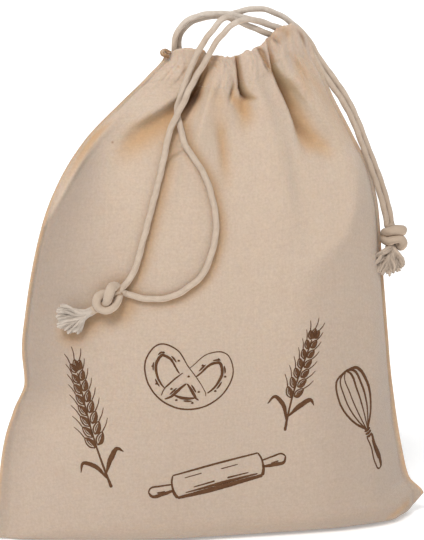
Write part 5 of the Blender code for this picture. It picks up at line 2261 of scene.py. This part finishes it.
@dataclass
class PanelPrint(Piece):
    """The brown drawings printed on a panel, each line a thin skin that follows the cloth."""

    face: ClothFace
    motifs: tuple[Motif, ...]
    proud: float = 0.14
    sunk: float = 0.30
    step: float = 0.6
    weight: float = 1.35
    bold_from: float = 1.6
    rough_edge: float = 0.16
    seed: int = 51

    def place(self, motif: Motif, flat: Numbers) -> tuple[Numbers, Numbers]:
        """Where points of the flat drawing come to lie on the bag.

        Args:
            motif: The drawing.
            flat: Its points on the flat cloth, about its middle.

        Returns:
            The places along X and along Z.
        """
        form, tilt = self.face.form, math.radians(motif.tilt)
        along = flat[..., 0] * math.cos(tilt) - flat[..., 1] * math.sin(tilt)
        up = flat[..., 0] * math.sin(tilt) + flat[..., 1] * math.cos(tilt)
        x = np.linspace(motif.x - 60.0, motif.x + 60.0, 481)
        z = np.full(x.shape, motif.z)
        level = form.level(z)
        inside = np.clip(x, level.left + level.edge_l + 0.5, level.right - level.edge_r - 0.5)
        out = form.bulge(inside, level, self.face.side)
        length = np.concatenate([[0.0], np.cumsum(np.hypot(np.diff(x), np.diff(out)))])
        length -= np.interp(motif.x, x, length)
        return np.interp(along, length, x), motif.z + up

    def outline(self, motif: Motif, stroke: Stroke, seed: int) -> tuple[Numbers, Numbers]:
        """Where one line of ink comes to lie.

        Args:
            motif: The drawing that it belongs to.
            stroke: The line.
            seed: What its uneven edge is drawn with.

        Returns:
            The places along X and along Z, row by row along the line.
        """
        rows = [(*point, self.weight * width) for point, width in zip(stroke.points, stroke.widths)]
        line = smooth_route(rows, self.step)
        count = len(line)
        ahead = unit(np.gradient(line[:, :2], axis=0))
        across = np.stack([-ahead[:, 1], ahead[:, 0]], axis=1)
        ends = np.minimum(np.arange(count), np.arange(count)[::-1]) * self.step
        half = 0.5 * line[:, 2] * np.sqrt(np.clip((ends + 0.25) / 0.9, 0.15, 1.0))
        steps = np.arange(count) * self.step
        left = half + self.rough_edge * cloth_noise(steps / 0.9, 0.5, seed) * np.minimum(half, 1.0)
        right = half + self.rough_edge * cloth_noise(steps / 1.1, 9.5, seed) * np.minimum(half, 1.0)
        columns = 3 if max(stroke.widths) < self.bold_from else 5
        share = np.linspace(0.0, 1.0, columns)[None, :]
        off = left[:, None] * (1.0 - share) - right[:, None] * share
        return self.place(motif, line[:, None, :2] + across[:, None, :] * off[:, :, None])

    def build(self) -> Object:
        """Lay every drawing on the cloth as one piece.

        Returns:
            The print.
        """
        drawn = [(motif, stroke) for motif in self.motifs for stroke in motif.strokes()]
        laid = [self.outline(*one, self.seed + number) for number, one in enumerate(drawn)]
        x, z = (np.concatenate([places[axis].ravel() for places in laid]) for axis in range(2))
        cuts = np.cumsum([across.size for across, _ in laid])[:-1]
        tops, unders = (np.split(self.face.lay_on(x, z, proud), cuts)
                        for proud in (self.proud, -self.sunk))
        draft = MeshDraft()
        for (across, _), top, under in zip(laid, tops, unders):
            count, columns = across.shape
            under = under.reshape(count, columns, 3)[:, ::-1]
            skin = np.concatenate([top.reshape(count, columns, 3), under], axis=1)
            flat = skin[..., ::2].reshape(-1, 2) * MM
            draft.add(skin.reshape(-1, 3), tube_faces(count, 2 * columns), flat)
        self.piece = draft.make(self.name)
        return self.piece

    def dress(self, material: Material) -> None:
        """Give the print its ink."""
        self.piece.data.materials.append(material)


# The stage


@dataclass
class Studio:
    """A pale floor, soft light from the upper left and the camera."""

    camera_at: Point = (-0.33414, -1.44190, 0.42717)
    camera_to: Point = (-0.00134, -0.00038, 0.1796)
    lens: float = 187.29
    sensor: float = 36.0
    floor_half: float = 30.0
    key_from: Point = (-0.80, -1.35, 1.50)
    key_power: float = 2.15
    key_width: float = 20.0
    key_color: Color = (1.0, 0.99, 0.97)
    surround: float = 0.74
    floor_sink: float = 0.0003
    sight: float = 200.0

    def place_camera(self) -> None:
        """Put the camera at the picture's angle."""
        data = bpy.data.cameras.new("camera")
        data.lens = self.lens
        data.sensor_fit = "HORIZONTAL"
        data.sensor_width = self.sensor
        data.clip_end = self.sight
        camera = bpy.data.objects.new("camera", data)
        bpy.context.scene.collection.objects.link(camera)
        camera.location = self.camera_at
        way = Vector(self.camera_to) - Vector(self.camera_at)
        camera.rotation_euler = way.to_track_quat("-Z", "Y").to_euler()
        bpy.context.scene.camera = camera

    def lay_floor(self) -> None:
        """Lay the floor."""
        half = self.floor_half
        mesh = bpy.data.meshes.new("floor")
        corners = [(-half, -half, 0.0), (half, -half, 0.0), (half, half, 0.0), (-half, half, 0.0)]
        mesh.from_pydata(corners, [], [(0, 1, 2, 3)])
        floor = bpy.data.objects.new("floor", mesh)
        floor.location.z = -self.floor_sink
        bpy.context.scene.collection.objects.link(floor)
        mesh.materials.append(FloorFinish().material())

    def light(self) -> None:
        """Hang the wide soft key light and the pale surround."""
        data = bpy.data.lights.new("key", "SUN")
        data.energy = self.key_power
        data.angle = math.radians(self.key_width)
        data.color = self.key_color
        lamp = bpy.data.objects.new("key", data)
        lamp.location = self.key_from
        way = -Vector(self.key_from)
        lamp.rotation_euler = way.to_track_quat("-Z", "Y").to_euler()
        bpy.context.scene.collection.objects.link(lamp)
        world = bpy.data.worlds.new("surround")
        world.use_nodes = True
        background = world.node_tree.nodes["Background"]
        background.inputs["Color"].default_value = (1.0, 1.0, 1.0, 1.0)
        background.inputs["Strength"].default_value = self.surround
        bpy.context.scene.world = world
        bpy.context.scene.view_settings.view_transform = "Standard"

    def build(self) -> None:
        """Set up the floor and the light."""
        self.lay_floor()
        self.light()


def main() -> None:
    """Build and dress every piece of the bag."""
    logging.basicConfig(level=logging.INFO, format="%(name)s %(message)s")
    studio = Studio()
    studio.place_camera()
    cord, fray = CordFinish().material(), CordFinish(name="frayed_cotton", braided=False).material()
    knot_left = DrawKnot(
        "knot_left_tied", "knot_left", (-80.0, -42.8, 170.2), LEFT_TIE, LEFT_GIRTH, LEFT_FAN,
        (LEFT_ROUTE_A, LEFT_ROUTE_B), seed=21, curl=0.5, pale=0.8, in_shade=0.45,
    )
    knot_right = DrawKnot(
        "knot_right_tied", "knot_right", (125.8, -6.2, 198.4), RIGHT_TIE, RIGHT_GIRTH, RIGHT_FAN,
        (RIGHT_ROUTE_A, RIGHT_ROUTE_B), seed=22, locks=30, curl=1.2, pale=0.2, in_shade=1.0,
        lock_radius=1.7, fibre_radius=0.22,
    )
    strands = (
        (Drawcord("cord_left_a_strand", "cord_left_a", LEFT_ROUTE_A, Lay.LOOSE, seed=3, sunny=0.5),
         knot_left),
        (Drawcord("cord_left_b_strand", "cord_left_b", LEFT_ROUTE_B, Lay.LOOSE, seed=4, sunny=0.5),
         knot_left),
        (Drawcord("cord_right_a_strand", "cord_right_a", RIGHT_ROUTE_A, Lay.HANGING, seed=5,
                  in_shade=0.9, sunny=0.9), knot_right),
        (Drawcord("cord_right_b_strand", "cord_right_b", RIGHT_ROUTE_B, Lay.HANGING, seed=6,
                  in_shade=0.9, sunny=0.9), knot_right),
    )
    for knot in (knot_left, knot_right):
        knot.build()
        knot.dress(fray)
    for strand, knot in strands:
        strand.build()
        strand.dress(cord)
        strand.declare(knot.piece)
    cloth = ClothFinish().material()
    front = ClothFace(
        Side.FRONT, FRONT_RIM, FRONT_FOLDS, FRONT_CRUMPLES, Gathers(7, 26, 0.9, 20.0), noise_seed=11,
    )
    back = ClothFace(
        Side.BACK, BACK_RIM, BACK_FOLDS, BACK_CRUMPLES, Gathers(8, 24, 1.7, 40.0), noise_seed=31,
    )
    drawings = PanelPrint("front_panel_print", front, (
        WheatEar(-92.0, 86.0, 14.0), Pretzel(-28.0, 118.0, -10.0), RollingPin(-8.0, 48.0, 12.0),
        WheatEar(48.0, 112.0, -20.0, tall=74.0, pairs=7, kernel=8.6), Whisk(97.0, 78.0, 24.0),
    ))
    drawings.build()
    drawings.dress(InkFinish().material())
    tab = CasingTab("casing_end_tab")
    tab.build()
    tab.dress(cloth)
    fringe = smooth_route((knot_left.line[-1], knot_left.stand(LEFT_FAN)[4]), 1.0)
    shades = ((strands[0][0].line, 1.0), (strands[1][0].line, 1.0),
              (knot_left.line, KNOT_SHADE_SIZE), (fringe, KNOT_SHADE_SIZE))
    for name, node, face, printed in (
        ("front_panel_cloth", "front_panel", front, [drawings.piece, tab.piece]),
        ("back_panel_cloth", "back_panel", back, []),
    ):
        panel = ClothPanel(name, node, face, shaded_by=shades if printed else ())
        panel.build()
        stitches = CasingStitches(node + "_stitches", face)
        stitches.build()
        stitches.dress(cord)
        panel.dress(cloth)
        panel.declare([stitches.piece, *printed])
    studio.build()


if __name__ == "__main__":
    main()
